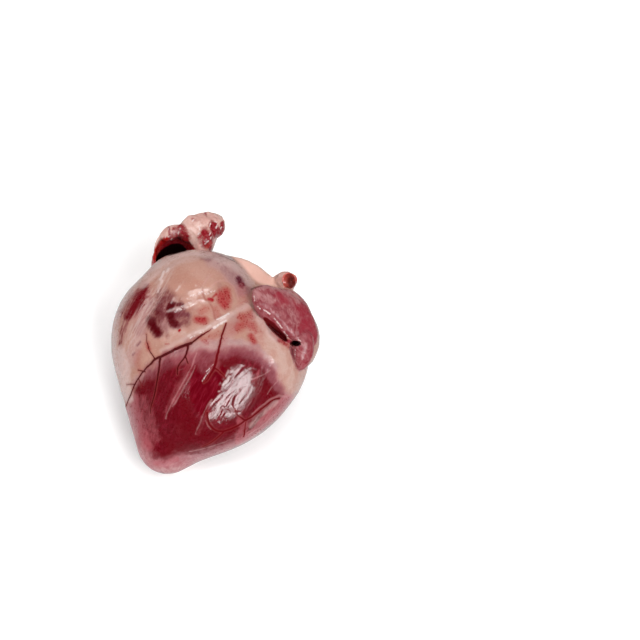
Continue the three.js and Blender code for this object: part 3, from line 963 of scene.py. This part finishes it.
def part_shares(skin):
    """How much of each point, 0 to 1, belongs to each part of the heart and to the side in the photo."""
    p = skin.p
    on = SimpleNamespace()
    on.front = smooth(-0.05, 0.15, skin.facing)
    on.broad_front = smooth(-0.6, -0.05, skin.facing + 0.35 * fractal(p, 16, 3, 62))
    forms = (body_mass, auricle, artery_wall, large_stump, small_stump)
    off_body, off_leaf, off_wall, off_stump, off_small = (np.abs(form(p)) for form in forms)
    rolled = brushed(LEAF_EDGE, skin.uv) * on.front * smooth(4.5, 2.5, off_leaf) * (off_small > 1)
    on.leaf = np.maximum(smooth(-0.8, 0.8, off_body - off_leaf) * (off_leaf < 1.6), rolled)
    on.wall = smooth(-1.2, 1.2, np.minimum(off_body, off_leaf) - off_wall) * (off_wall < 2)
    on.stump = smooth(-1.2, 1.2, np.minimum(off_body, off_wall) - off_stump) * (off_stump < 2)
    on.small = smooth(-1, 1, np.minimum(off_body, off_leaf) - off_small) * (off_small < 2)
    on.body = (1 - on.leaf) * (1 - on.wall) * (1 - on.stump) * (1 - on.small)
    return on


def fat_and_muscle(skin, on, edge_warp):
    """How far each point is inside the fat and inside the muscle, in millimetres."""
    p = skin.p
    muscle = np.maximum(inside_by(MUSCLE, edge_warp), inside_by(LOWER_MUSCLE, edge_warp)) * PIXEL
    fat = inside_by(FAT, edge_warp) * PIXEL

    # The hidden side: two fields of muscle with a fatty groove between them, and a fatty base
    back_groove = np.abs(p[:, 0] + 6 + 0.12 * p[:, 1] + 2.5 * fractal(p, 22, 2, 60))
    base_fat = p[:, 1] - 19 + 5 * fractal(p, 16, 3, 61)
    back_fat = np.maximum(base_fat, 5.5 - back_groove)
    hidden = 1 - on.broad_front
    back_muscle = -back_fat - 2
    fat, back_fat = (np.clip(depth, -FAT_DEEP, FAT_DEEP) for depth in (fat, back_fat))
    muscle, back_muscle = (np.clip(depth, -MUSCLE_DEEP, MUSCLE_DEEP) for depth in (muscle, back_muscle))
    return on.broad_front * fat + hidden * back_fat, on.broad_front * muscle + hidden * back_muscle


def relief_of(skin, on, lines, fat):
    """The relief along the normals, in millimetres."""
    p, face = skin.p, skin.face
    body = on.body
    across = swung(face, 0.81, 0.58)
    fatty = smooth(-1, 3, fat) * body
    folds = np.abs(fractal(across, (3.2, 11, 7), 2, 70))
    plates = 1 - np.exp(-folds / 0.09)
    relief = fatty * (FAT_LUMPS * fractal(p, 11, 2, 80) + FAT_DIMPLES * fractal(p, 3.2, 2, 81))
    relief += MUSCLE_FIBRES * (1 - fatty) * body * fractal(swung(face, 0.9, 0.43), (1.8, 14, 8), 2, 82)
    crinkled = SHINE_LUMPS * fractal(across, (1.5, 2.6, 2.6), 2, 71) + SHINE_WAVES * fractal(p, 4, 2, 73)
    relief += on.shine * (SKIN_FOLDS * (plates - 1) + crinkled)
    relief += SKIN_FOLDS * body * (1 - on.shine) * (plates - 1)
    relief += RIDGE_HEIGHT * on.ridges - flattened(face) * on.front
    relief -= GROOVE_DEPTH * brushed(GROOVES, skin.uv + 0.6 * skin.small_warp) * on.front
    vessels = (("dark", VEIN_HEIGHT, 0.5), ("red", VEIN_HEIGHT, 0.5), ("pale", STREAK_HEIGHT, 0.4))
    for name, height, spread in vessels:
        line = lines[name]
        relief += body * height * np.exp(-np.minimum(line, 0) ** 2 / spread) * (line > -3)
    relief += SHEATH_HEIGHT * smooth(-2.0, 0.5, lines["sheath"]) * body
    stranded = 0.5 + 0.7 * fractal(across, (1.3, 12, 8), 2, 84)
    relief += BAND_HEIGHT * smooth(-3, 1, lines["band"]) * body * stranded
    relief += on.leaf * (LEAF_LUMPS * fractal(p, 5, 3, 85) + LEAF_FOLDS * (plates - 0.5))
    bore_side = smooth(1.6, 0.2, large_bore(p)) * (p[:, 1] > 26)
    torn = CUT_LUMPS * fractal(p, 6, 3, 86) + CUT_GRAIN * fractal(p, 2.0, 2, 87)
    relief += (on.stump + on.small) * torn * (1 - 0.6 * bore_side)
    relief += on.wall * WALL_LUMPS * fractal(p, 8, 2, 88)
    return relief * smooth(0.2, 2.5, p[:, 2])


def measures_of(skin, on, lines, fat, muscle, edge_warp):
    """The values that the material reads at each point."""
    p, uv, front, broad_front, body = skin.p, skin.uv, on.front, on.broad_front, on.body
    spot_warp = uv + 1.6 * skin.warp + 0.9 * skin.small_warp
    shown = body * front
    hidden = 1 - broad_front
    hidden_patch = 0.5 + 0.5 * fractal(p, 15, 3, 90)
    small_way = (SMALL_MOUTH - SMALL_ROOT) / np.linalg.norm(SMALL_MOUTH - SMALL_ROOT)
    near_mouth = smooth(-2.2, 0.2, (p - SMALL_MOUTH) @ small_way)
    bore_wall = smooth(1.6, 0.4, large_bore(p)) * facing_line(p, skin.n, LARGE_BORE_BOTTOM, LARGE_BORE_TOP)
    deep_inside = np.maximum(smooth(-1.2, 1.5, inside_by(LUMEN_SHADE, uv)) * front, 1 - front)
    measures = {
        "muscle": muscle,
        "fat": fat,
        "veil": brushed(VEIL, edge_warp) * broad_front + hidden * 0.7 * smooth(0.35, 0.8, hidden_patch),
        "cream": brushed(CREAM, edge_warp) * broad_front + hidden * hidden_patch,
        "mauve": brushed(MAUVE, edge_warp) * broad_front + hidden * smooth(0.5, 0.9, hidden_patch),
        "vein": np.maximum(lines["dark"], lines["red"]) * shown - FAR * (1 - shown),
        "fresh": smooth(-0.6, 0.6, lines["red"] - lines["dark"]),
        "streak": lines["pale"] * shown - FAR * (1 - shown),
        "sheath": lines["sheath"] * shown - FAR * (1 - shown),
        "band": lines["band"] * shown - BAND_FAR * (1 - shown),
        "ridge": on.ridges,
        "shine": on.shine,
        "leaf": on.leaf,
        "wall": np.maximum(on.wall, on.small * (1 - near_mouth)),
        "stump": np.maximum(on.stump, on.small * near_mouth),
        # painted shade deep in the large vessel's bore
        "lumen_shade": deep_inside * bore_wall,
        "small_bore": smooth(1.4, 0.2, small_bore(p)) * on.small,
        # painted shade on the walls of the gap under the auricle's rolled edge
        "gap": smooth(0.6, 0.0, edge_gap(p)) * front,
        "leaf_red": np.where(front > 0.3, brushed(LEAF_RED, spot_warp), 0.5),
        "dull": brushed(DULL, uv) * front * (1 - 0.9 * np.minimum(on.ridges, 1)),
    }
    for name, table, places, share in (
        ("haze", HAZE, edge_warp, shown),
        ("right_muscle", RIGHT_MUSCLE, edge_warp, shown),
        ("milky_and_sheen", MILKY_AND_SHEEN, edge_warp, shown),
        ("bruise", BRUISES, spot_warp, shown),
        ("purple", PURPLES, spot_warp, shown),
        ("blood", BLOOD, spot_warp, shown),
        ("leaf_pale", LEAF_PALE, spot_warp, front),
        ("stump_red", STUMP_RED, spot_warp, front),
        ("red_spot", RED_SPOTS, uv + 0.5 * skin.small_warp, front),
        ("rim_red", RIM_RED, uv + 0.5 * skin.small_warp, front),
        ("painted_glint", PAINTED_GLINTS, uv + 0.4 * skin.small_warp, front),
        ("crease_shade", CREASE_SHADE, uv + 0.3 * skin.small_warp, front),
        ("small_hole_shade", SMALL_HOLE_SHADE, uv, front),
    ):
        measures[name] = brushed(table, places) * share
    return measures


def finish_surface(mesh):
    """Gives the surface its relief, and the values that its material reads."""
    skin = Skin(mesh)
    on = part_shares(skin)
    on.shine = brushed(SHINE, skin.uv) * on.front * on.body
    broken = smooth(-0.35, 0.25, fractal(skin.p, 2.2, 2, 72))
    on.ridges = brushed(RIDGES, skin.uv + 0.6 * skin.small_warp) * on.front * broken
    # The band is in whole millimetres, so that its edge runs out in steps
    lines = {
        "dark": skin.drawn(DARK_VEINS),
        "red": skin.drawn(RED_VEINS),
        "pale": skin.drawn(PALE_STREAKS),
        "sheath": skin.along(skin.lift(spaced(SHEATH)), *SHEATH_HALF),
        "band": np.trunc(skin.along(skin.lift(spaced(BAND)), *BAND_HALF, BAND_FAR)),
    }
    edge_warp = skin.uv + 2.4 * skin.warp + 1.5 * skin.small_warp
    fat, muscle = fat_and_muscle(skin, on, edge_warp)
    moved = skin.p + skin.n * relief_of(skin, on, lines, fat)[:, None]
    moved[:, 2] = np.maximum(moved[:, 2], 0)
    mesh.vertices.foreach_set("co", ((moved - BOX_MIDDLE) * 0.001).astype(np.float32).ravel())
    for name, values in measures_of(skin, on, lines, fat, muscle, edge_warp).items():
        layer = mesh.attributes.new(name, "FLOAT", "POINT")
        layer.data.foreach_set("value", np.ascontiguousarray(values, np.float32))
    mesh.polygons.foreach_set("use_smooth", np.ones(len(mesh.polygons), bool))
    mesh.update()
    return mesh


# Materials

MILLIMETRES = 1000.0


def set_inputs(node, values):
    """Gives a node's inputs constant values, by name."""
    for name, value in values.items():
        node.inputs[name].default_value = value


def seen(r, g, b):
    """The surface colour that shows as these 0..255 screen values under the scene's light."""
    linear = [((c / 255 + 0.055) / 1.055) ** 2.4 / LIGHT for c in (r, g, b)]
    return (*linear, 1.0)


class Nodes:
    """Short names for the shader nodes that a material is made of."""

    def __init__(self, name, inputs):
        self.material = bpy.data.materials.new(name)
        self.material.use_nodes = True
        self.tree = self.material.node_tree
        self.shader = self.tree.nodes["Principled BSDF"]
        set_inputs(self.shader, inputs)

    def new(self, kind, **settings):
        node = self.tree.nodes.new("ShaderNode" + kind)
        for key, value in settings.items():
            setattr(node, key, value)
        return node

    def put(self, value, socket):
        if isinstance(value, bpy.types.NodeSocket):
            self.tree.links.new(value, socket)
        else:
            socket.default_value = value

    def measure(self, name):
        return self.new("Attribute", attribute_name=name).outputs["Fac"]

    def calc(self, operation, *values, clamp=False):
        node = self.new("Math", operation=operation, use_clamp=clamp)
        for value, socket in zip(values, node.inputs):
            self.put(value, socket)
        return node.outputs[0]

    def plus(self, value, extra, gain=1.0):
        """value + extra x gain."""
        return self.calc("MULTIPLY_ADD", extra, gain, value)

    def share(self, value, gain, less=0.0):
        """value x gain - less, kept in 0..1."""
        return self.calc("MULTIPLY_ADD", value, gain, -less, clamp=True)

    def step(self, value, low, high, top=1.0, floor=0.0):
        """A smooth step from floor to top while the value goes from low to high."""
        node = self.new("MapRange", interpolation_type="SMOOTHSTEP")
        self.put(value, node.inputs["Value"])
        set_inputs(node, {"From Min": low, "From Max": high, "To Min": floor, "To Max": top})
        return node.outputs[0]

    def broken_up(self, name, reach, pattern, gain=1.0):
        """A measure with a pattern added to it, fully where the measure is above its reach."""
        value = self.measure(name)
        return self.plus(value, self.calc("MULTIPLY", self.step(value, 0.0, reach), pattern), gain)

    def drawn_out(self, length, lean, swing):
        """Places for a noise that is `length` times as long one way: up by lean, right by swing degrees."""
        mapping = self.new("Mapping", vector_type="TEXTURE")
        self.put(self.new("TexCoord").outputs["Object"], mapping.inputs["Vector"])
        rotation = (math.radians(lean), 0, -math.radians(swing))
        set_inputs(mapping, {"Scale": (1, length, 1), "Rotation": rotation})
        return mapping.outputs[0]

    def noise(self, size, detail, roughness=0.55, distortion=0.0, vector=None):
        """Noise in 0..1 whose lumps are `size` millimetres."""
        node = self.new("TexNoise")
        self.put(vector or self.new("TexCoord").outputs["Object"], node.inputs["Vector"])
        set_inputs(node, {"Scale": MILLIMETRES / size, "Detail": detail})
        set_inputs(node, {"Roughness": roughness, "Distortion": distortion})
        return node.outputs["Fac"]

    def waves(self, noise):
        """The noise as waves about zero."""
        return self.calc("SUBTRACT", noise, 0.5)

    def mix(self, amount, below, above):
        """One colour over another. A tuple is a colour as it shows on the screen."""
        node = self.new("Mix", data_type="RGBA", clamp_factor=True)
        self.put(amount, node.inputs[0])
        for shade, socket in ((below, node.inputs[6]), (above, node.inputs[7])):
            self.put(seen(*shade) if isinstance(shade, tuple) else shade, socket)
        return node.outputs[2]

    def over(self, colour, *layers):
        """A colour with others laid over it, each with its share or with the numbers of a step before it."""
        for *where, shade in layers:
            amount = self.step(*where) if len(where) > 1 else where[0]
            colour = self.mix(amount, colour, shade)
        return colour


def flesh_material():
    wetness = {
        "IOR": 1.5,
        "Subsurface Weight": 0.10,
        "Subsurface Radius": (1.0, 0.35, 0.25),
        "Subsurface Scale": 0.0025,
        "Coat Roughness": 0.08,
        "Coat IOR": 1.6,
    }
    m = Nodes("wet_flesh", wetness)
    fine = m.noise(1.3, 4, 0.65)
    blotch = m.noise(6, 5, 0.65, 0.5)
    broad = m.noise(17, 3, 0.5, 0.4)
    pores = m.noise(0.8, 3, 0.7, 0.6)
    fibre = m.noise(1.2, 4, 0.65, 0.3, m.drawn_out(7, 25, 10))
    band_fibre = m.noise(1.0, 4, 0.65, 0.2, m.drawn_out(10, 22, 12))
    marbling = m.noise(1.9, 5, 0.65, 0.8, m.drawn_out(2.6, -10, -45))
    patterns = (fine, blotch, fibre, marbling)
    fine_waves, blotch_waves, fibre_waves, marble_waves = (m.waves(pattern) for pattern in patterns)
    feather = m.waves(m.noise(2.4, 2, 0.5, 0.2, m.drawn_out(6, 25, 10)))
    sparkle = m.waves(m.noise(1.1, 3, 0.7, 0.6))

    # Muscle with paler fibres, under a membrane that is pale and milky
    pale = m.over(
        (189, 128, 133),
        (blotch, 0.35, 0.65, (169, 94, 101)),
        (fibre, 0.4, 0.75, 0.35, (210, 172, 170)),
    )
    red = m.over(
        (100, 2, 18),
        (fibre, 0.42, 0.72, (128, 26, 42)),
        (broad, 0.42, 0.66, 0.8, (106, 1, 16)),
        (fine, 0.6, 0.8, 0.1, (160, 60, 70)),
    )
    depth = m.plus(m.measure("muscle"), feather, 4.5)
    veil = m.plus(m.plus(m.measure("veil"), fibre_waves, 0.5), blotch_waves, 0.35)
    flesh = m.over(
        pale,
        (m.share(depth, 0.25, -1.0), (152, 84, 90)),
        (depth, -2.6, 2.2, red),
        (veil, 0.1, 1.0, 0.9, (190, 100, 108)),
    )

    # Fat: tan over the conus, cream on the right, greyer where it thins out
    cream = m.over((202, 166, 154), (blotch, 0.4, 0.65, (192, 145, 132)))
    mauve = m.over((176, 136, 136), (blotch, 0.35, 0.7, (192, 154, 151)))
    fat = m.over(
        (182, 132, 116),
        (broad, 0.35, 0.7, (192, 147, 132)),
        (blotch, 0.5, 0.75, 0.5, (176, 124, 112)),
        (m.measure("cream"), cream),
        (m.measure("mauve"), 0.0, 1.0, 0.85, mauve),
        (fine, 0.58, 0.8, 0.3, (188, 108, 100)),
        (pores, 0.56, 0.74, 0.32, (150, 100, 96)),
        (pores, 0.44, 0.28, 0.3, (216, 188, 178)),
    )

    # A smoky haze where the fat thins out, the right ventricle's muscle, bruises and blood under the membrane
    haze = m.broken_up("haze", 0.5, fibre_waves, 1.3)
    smoke = m.over((136, 66, 76), (blotch, 0.3, 0.7, (148, 84, 90)))
    right = m.broken_up("right_muscle", 0.4, fibre_waves, 2.2)
    ragged = m.plus(fibre_waves, blotch_waves, 0.9)
    purple = m.broken_up("purple", 0.8, ragged)
    bruise = m.broken_up("bruise", 0.8, ragged)
    blood = m.broken_up("blood", 0.5, fine_waves)
    cells = m.new("TexVoronoi")
    m.put(m.new("TexCoord").outputs["Object"], cells.inputs["Vector"])
    m.put(MILLIMETRES / 1.05, cells.inputs["Scale"])
    specks = m.step(cells.outputs["Distance"], 0.55, 0.15)
    specks = m.calc("MULTIPLY", specks, m.step(m.noise(2.2, 2), 0.36, 0.58))
    speckled = m.calc("MULTIPLY", m.step(m.plus(blood, blotch_waves), 0.15, 0.75, 0.85), specks)
    colour = m.over(
        flesh,
        (m.plus(m.measure("fat"), feather, -3.0), -2.2, 2.4, fat),
        (m.share(haze, 0.85), smoke),
        (m.share(right, 1.1), (168, 92, 96)),
        (m.share(right, 1.25, 0.25), (110, 4, 18)),
        (purple, 0.0, 1.1, (126, 64, 78)),
        (purple, 0.35, 1.2, (84, 18, 34)),
        (bruise, 0.0, 1.05, (134, 62, 68)),
        (bruise, 0.25, 1.15, (80, 2, 12)),
        (m.share(blood, 0.85), (166, 52, 54)),
        (speckled, (136, 14, 22)),
        (m.measure("red_spot"), (158, 8, 24)),
    )

    # Fibrous band, pale streaks, the silvery sheath, a milky membrane with painted rim sheen, painted
    # highlights on the ridges, and veins
    strands = m.step(band_fibre, 0.40, 0.64, 0.66, 0.06)
    band = m.calc("MULTIPLY", m.step(m.measure("band"), -2.8, 1.2), strands)
    streak = m.plus(m.measure("streak"), blotch_waves, 1.2)
    sheath = m.plus(m.measure("sheath"), blotch_waves, 1.5)
    milky_and_sheen = m.broken_up("milky_and_sheen", 0.5, fibre_waves)
    vein = m.plus(m.measure("vein"), fine_waves, 0.35)
    vein_red = m.mix(m.measure("fresh"), (70, 2, 8), (100, 2, 14))
    colour = m.over(
        colour,
        (band, (202, 174, 168)),
        (streak, -0.55, 0.15, 0.32, (206, 152, 152)),
        (sheath, -1.4, 0.8, 0.48, (206, 176, 170)),
        # milky membrane, with painted rim sheen and a painted highlight
        (m.share(milky_and_sheen, 0.8), (214, 184, 178)),
        # pale tint on the ridges: part membrane, part painted highlight
        (m.share(m.measure("ridge"), 0.4), (232, 212, 208)),
        (vein, -1.1, -0.1, 0.4, (150, 62, 60)),
        (vein, -0.3, 0.1, 0.95, vein_red),
    )

    # Auricle, artery wall and the cut vessels, with painted shade in the bores, the gap and the creases, and
    # painted glints
    leaf = m.over(
        (134, 54, 62),
        (marbling, 0.30, 0.70, (163, 98, 102)),
        (m.plus(m.measure("leaf_red"), marble_waves, -1.2), 0.0, 1.1, 0.85, (146, 40, 54)),
        (m.plus(m.measure("leaf_pale"), marble_waves, 1.6), 0.1, 1.1, 0.5, (196, 152, 150)),
    )
    wall = m.over(
        (250, 202, 186),
        (broad, 0.4, 0.7, (240, 188, 172)),
        (blotch, 0.52, 0.75, 0.5, (236, 168, 154)),
    )
    mottle = m.plus(m.calc("MULTIPLY", blotch_waves, 1.2), fine_waves, 1.6)
    raw = m.share(m.broken_up("stump_red", 0.4, mottle), 1.25, 0.1)
    raw_red = m.over((132, 4, 22), (fine, 0.45, 0.75, (174, 54, 64)))
    cut = m.over(
        (210, 160, 150),
        (blotch, 0.35, 0.6, (221, 182, 171)),
        (fine, 0.5, 0.8, 0.4, (196, 128, 118)),
        (raw, raw_red),
        (m.measure("rim_red"), (180, 20, 16)),
    )
    # the small vessel's red opening, with painted shade deeper in it
    hole_red_and_shade = m.mix(m.measure("small_hole_shade"), (206, 84, 74), (112, 6, 4))
    colour = m.over(
        colour,
        (m.measure("leaf"), leaf),
        (m.measure("wall"), wall),
        (m.measure("stump"), cut),
        (m.plus(m.measure("small_bore"), blotch_waves, 0.4), 0.3, 0.9, 0.95, hole_red_and_shade),
        # painted shade: the large bore near black
        (m.measure("lumen_shade"), 0.1, 0.9, (20, 1, 2)),
        # painted shade: dark red in the gap under the auricle's edge
        (m.measure("gap"), 0.1, 1.0, 0.95, (98, 8, 14)),
        # painted shade: dark creases and the notch
        (m.measure("crease_shade"), 0.1, 1.0, 0.95, (50, 4, 8)),
        # painted glints: near-white highlight colour, broken up by noise
        (m.broken_up("painted_glint", 0.4, sparkle, 2.2), 0.35, 0.9, 0.8, (232, 214, 212)),
    )
    m.put(colour, m.shader.inputs["Base Color"])

    # A wet coat, missing in deep places and thin on the auricle, bruises and veins
    dull = m.plus(m.measure("lumen_shade"), m.measure("leaf"), 0.6)
    dimmed = [m.measure(name) for name in ("crease_shade", "dull", "gap")]
    for extra in (*dimmed, m.step(bruise, 0.6, 1.3, 0.5), m.step(vein, -0.5, 0.1, 0.7)):
        dull = m.plus(dull, extra)
    m.put(m.calc("SUBTRACT", 1.0, dull, clamp=True), m.shader.inputs["Coat Weight"])
    m.put(m.step(dull, 0.0, 1.0, 0.0, 0.14), m.shader.inputs["Specular IOR Level"])
    m.put(m.step(m.plus(fine, blotch, 0.5), 0.5, 1.1, 0.40, 0.24), m.shader.inputs["Roughness"])

    # Fine wrinkles
    wrinkle = m.noise(0.9, 4, 0.6, 0.4, m.drawn_out(4, 22, 21))
    bump = m.new("Bump")
    m.put(m.plus(m.calc("MULTIPLY", wrinkle, 0.6), fine, 0.4), bump.inputs["Height"])
    strength = m.plus(m.step(m.measure("shine"), 0.0, 1.0, 0.35, 0.5), m.measure("stump"))
    m.put(strength, bump.inputs["Strength"])
    m.put(WRINKLE_HEIGHT, bump.inputs["Distance"])
    for name in ("Normal", "Coat Normal"):
        m.put(bump.outputs[0], m.shader.inputs[name])
    return m.material


def ground_material():
    matt_white = {
        "Base Color": (0.93, 0.93, 0.93, 1),
        "Roughness": 0.9,
        "Specular IOR Level": 0.1,
        "Emission Color": (1, 1, 1, 1),
        "Emission Strength": 0.15,
    }
    return Nodes("white_ground", matt_white).material


# The heart
heart = bpy.data.objects.new("heart_flesh", finish_surface(build_surface()))
bpy.context.scene.collection.objects.link(heart)
heart.data.materials.append(flesh_material())
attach(heart, "root")
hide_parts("heart")

# The ground
ground_mesh = bpy.data.meshes.new("ground")
corners = [(x * GROUND_REACH, y * GROUND_REACH, 0) for x, y in ((-1, -1), (1, -1), (1, 1), (-1, 1))]
ground_mesh.from_pydata(corners, [], [(0, 1, 2, 3)])
ground = bpy.data.objects.new("ground", ground_mesh)
ground.data.materials.append(ground_material())
bpy.context.scene.collection.objects.link(ground)
ground.visible_glossy = False


def add_light(name, direction, long_way, distance, size, power, reflected):
    """A soft light towards the heart from a direction in the face frame, its length along long_way there."""
    data = bpy.data.lights.new(name, "AREA")
    data.shape = "RECTANGLE"
    data.size, data.size_y = size
    data.energy = power
    light = bpy.data.objects.new(name, data)
    back = Vector(FACE @ np.array(direction, float)).normalized()
    side = Vector(FACE @ np.array(long_way, float)).cross(back).normalized()
    light.matrix_world = Matrix((side, back.cross(side), back)).transposed().to_4x4()
    light.matrix_world.translation = Vector((0, 0, LIGHTS_AIM)) + back * distance
    light.visible_glossy = reflected
    bpy.context.scene.collection.objects.link(light)


add_light("window", (0.42, -0.11, 0.90), (0.20, 1, 0), 1.2, (0.42, 1.18), 15.0, True)
add_light("above", (-0.08, 0.27, 0.96), (1, 0.1, 0), 1.4, (0.16, 1.06), 5.5, True)
add_light("sky", (-0.1, 0.3, 0.95), (0, 1, 0), 1.6, (1.2, 1.2), 0.8, False)
add_light("behind", (0.15, 0.96, 0.15), (1, 0, 0), 1.5, (1.8, 1.2), 13.0, False)
add_light("fill", (-0.9, 0.1, 0.35), (0, 1, 0), 1.5, (1.0, 1.0), 13.0, False)

# A dim room, whose bright ground shows only where the wet surface turns away from the eye
world = bpy.data.worlds.new("room")
bpy.context.scene.world = world
world.use_nodes = True
nodes, links = world.node_tree.nodes, world.node_tree.links
direction = nodes.new("ShaderNodeTexCoord")
split = nodes.new("ShaderNodeSeparateXYZ")
ramp = nodes.new("ShaderNodeMapRange")
ramp.interpolation_type = "SMOOTHSTEP"
set_inputs(ramp, {"From Min": -0.40, "From Max": -0.80, "To Min": ROOM_LIGHT, "To Max": GROUND_LIGHT})
links.new(direction.outputs["Generated"], split.inputs[0])
links.new(split.outputs["Z"], ramp.inputs["Value"])
links.new(ramp.outputs[0], nodes["Background"].inputs["Strength"])
set_inputs(nodes["Background"], {"Color": (1, 1, 1, 1)})

# The photograph's camera
camera_data = bpy.data.cameras.new("camera")
camera_data.lens = LENS
camera_data.sensor_width = SENSOR
camera_data.clip_end = CLIP_END
camera = bpy.data.objects.new("camera", camera_data)
place = Matrix([list(row) for row in FACE]).to_4x4()
place.translation = Vector((View.eye - BOX_MIDDLE) * 0.001)
camera.matrix_world = place
bpy.context.scene.collection.objects.link(camera)
bpy.context.scene.camera = camera
bpy.context.scene.view_settings.view_transform = "Standard"
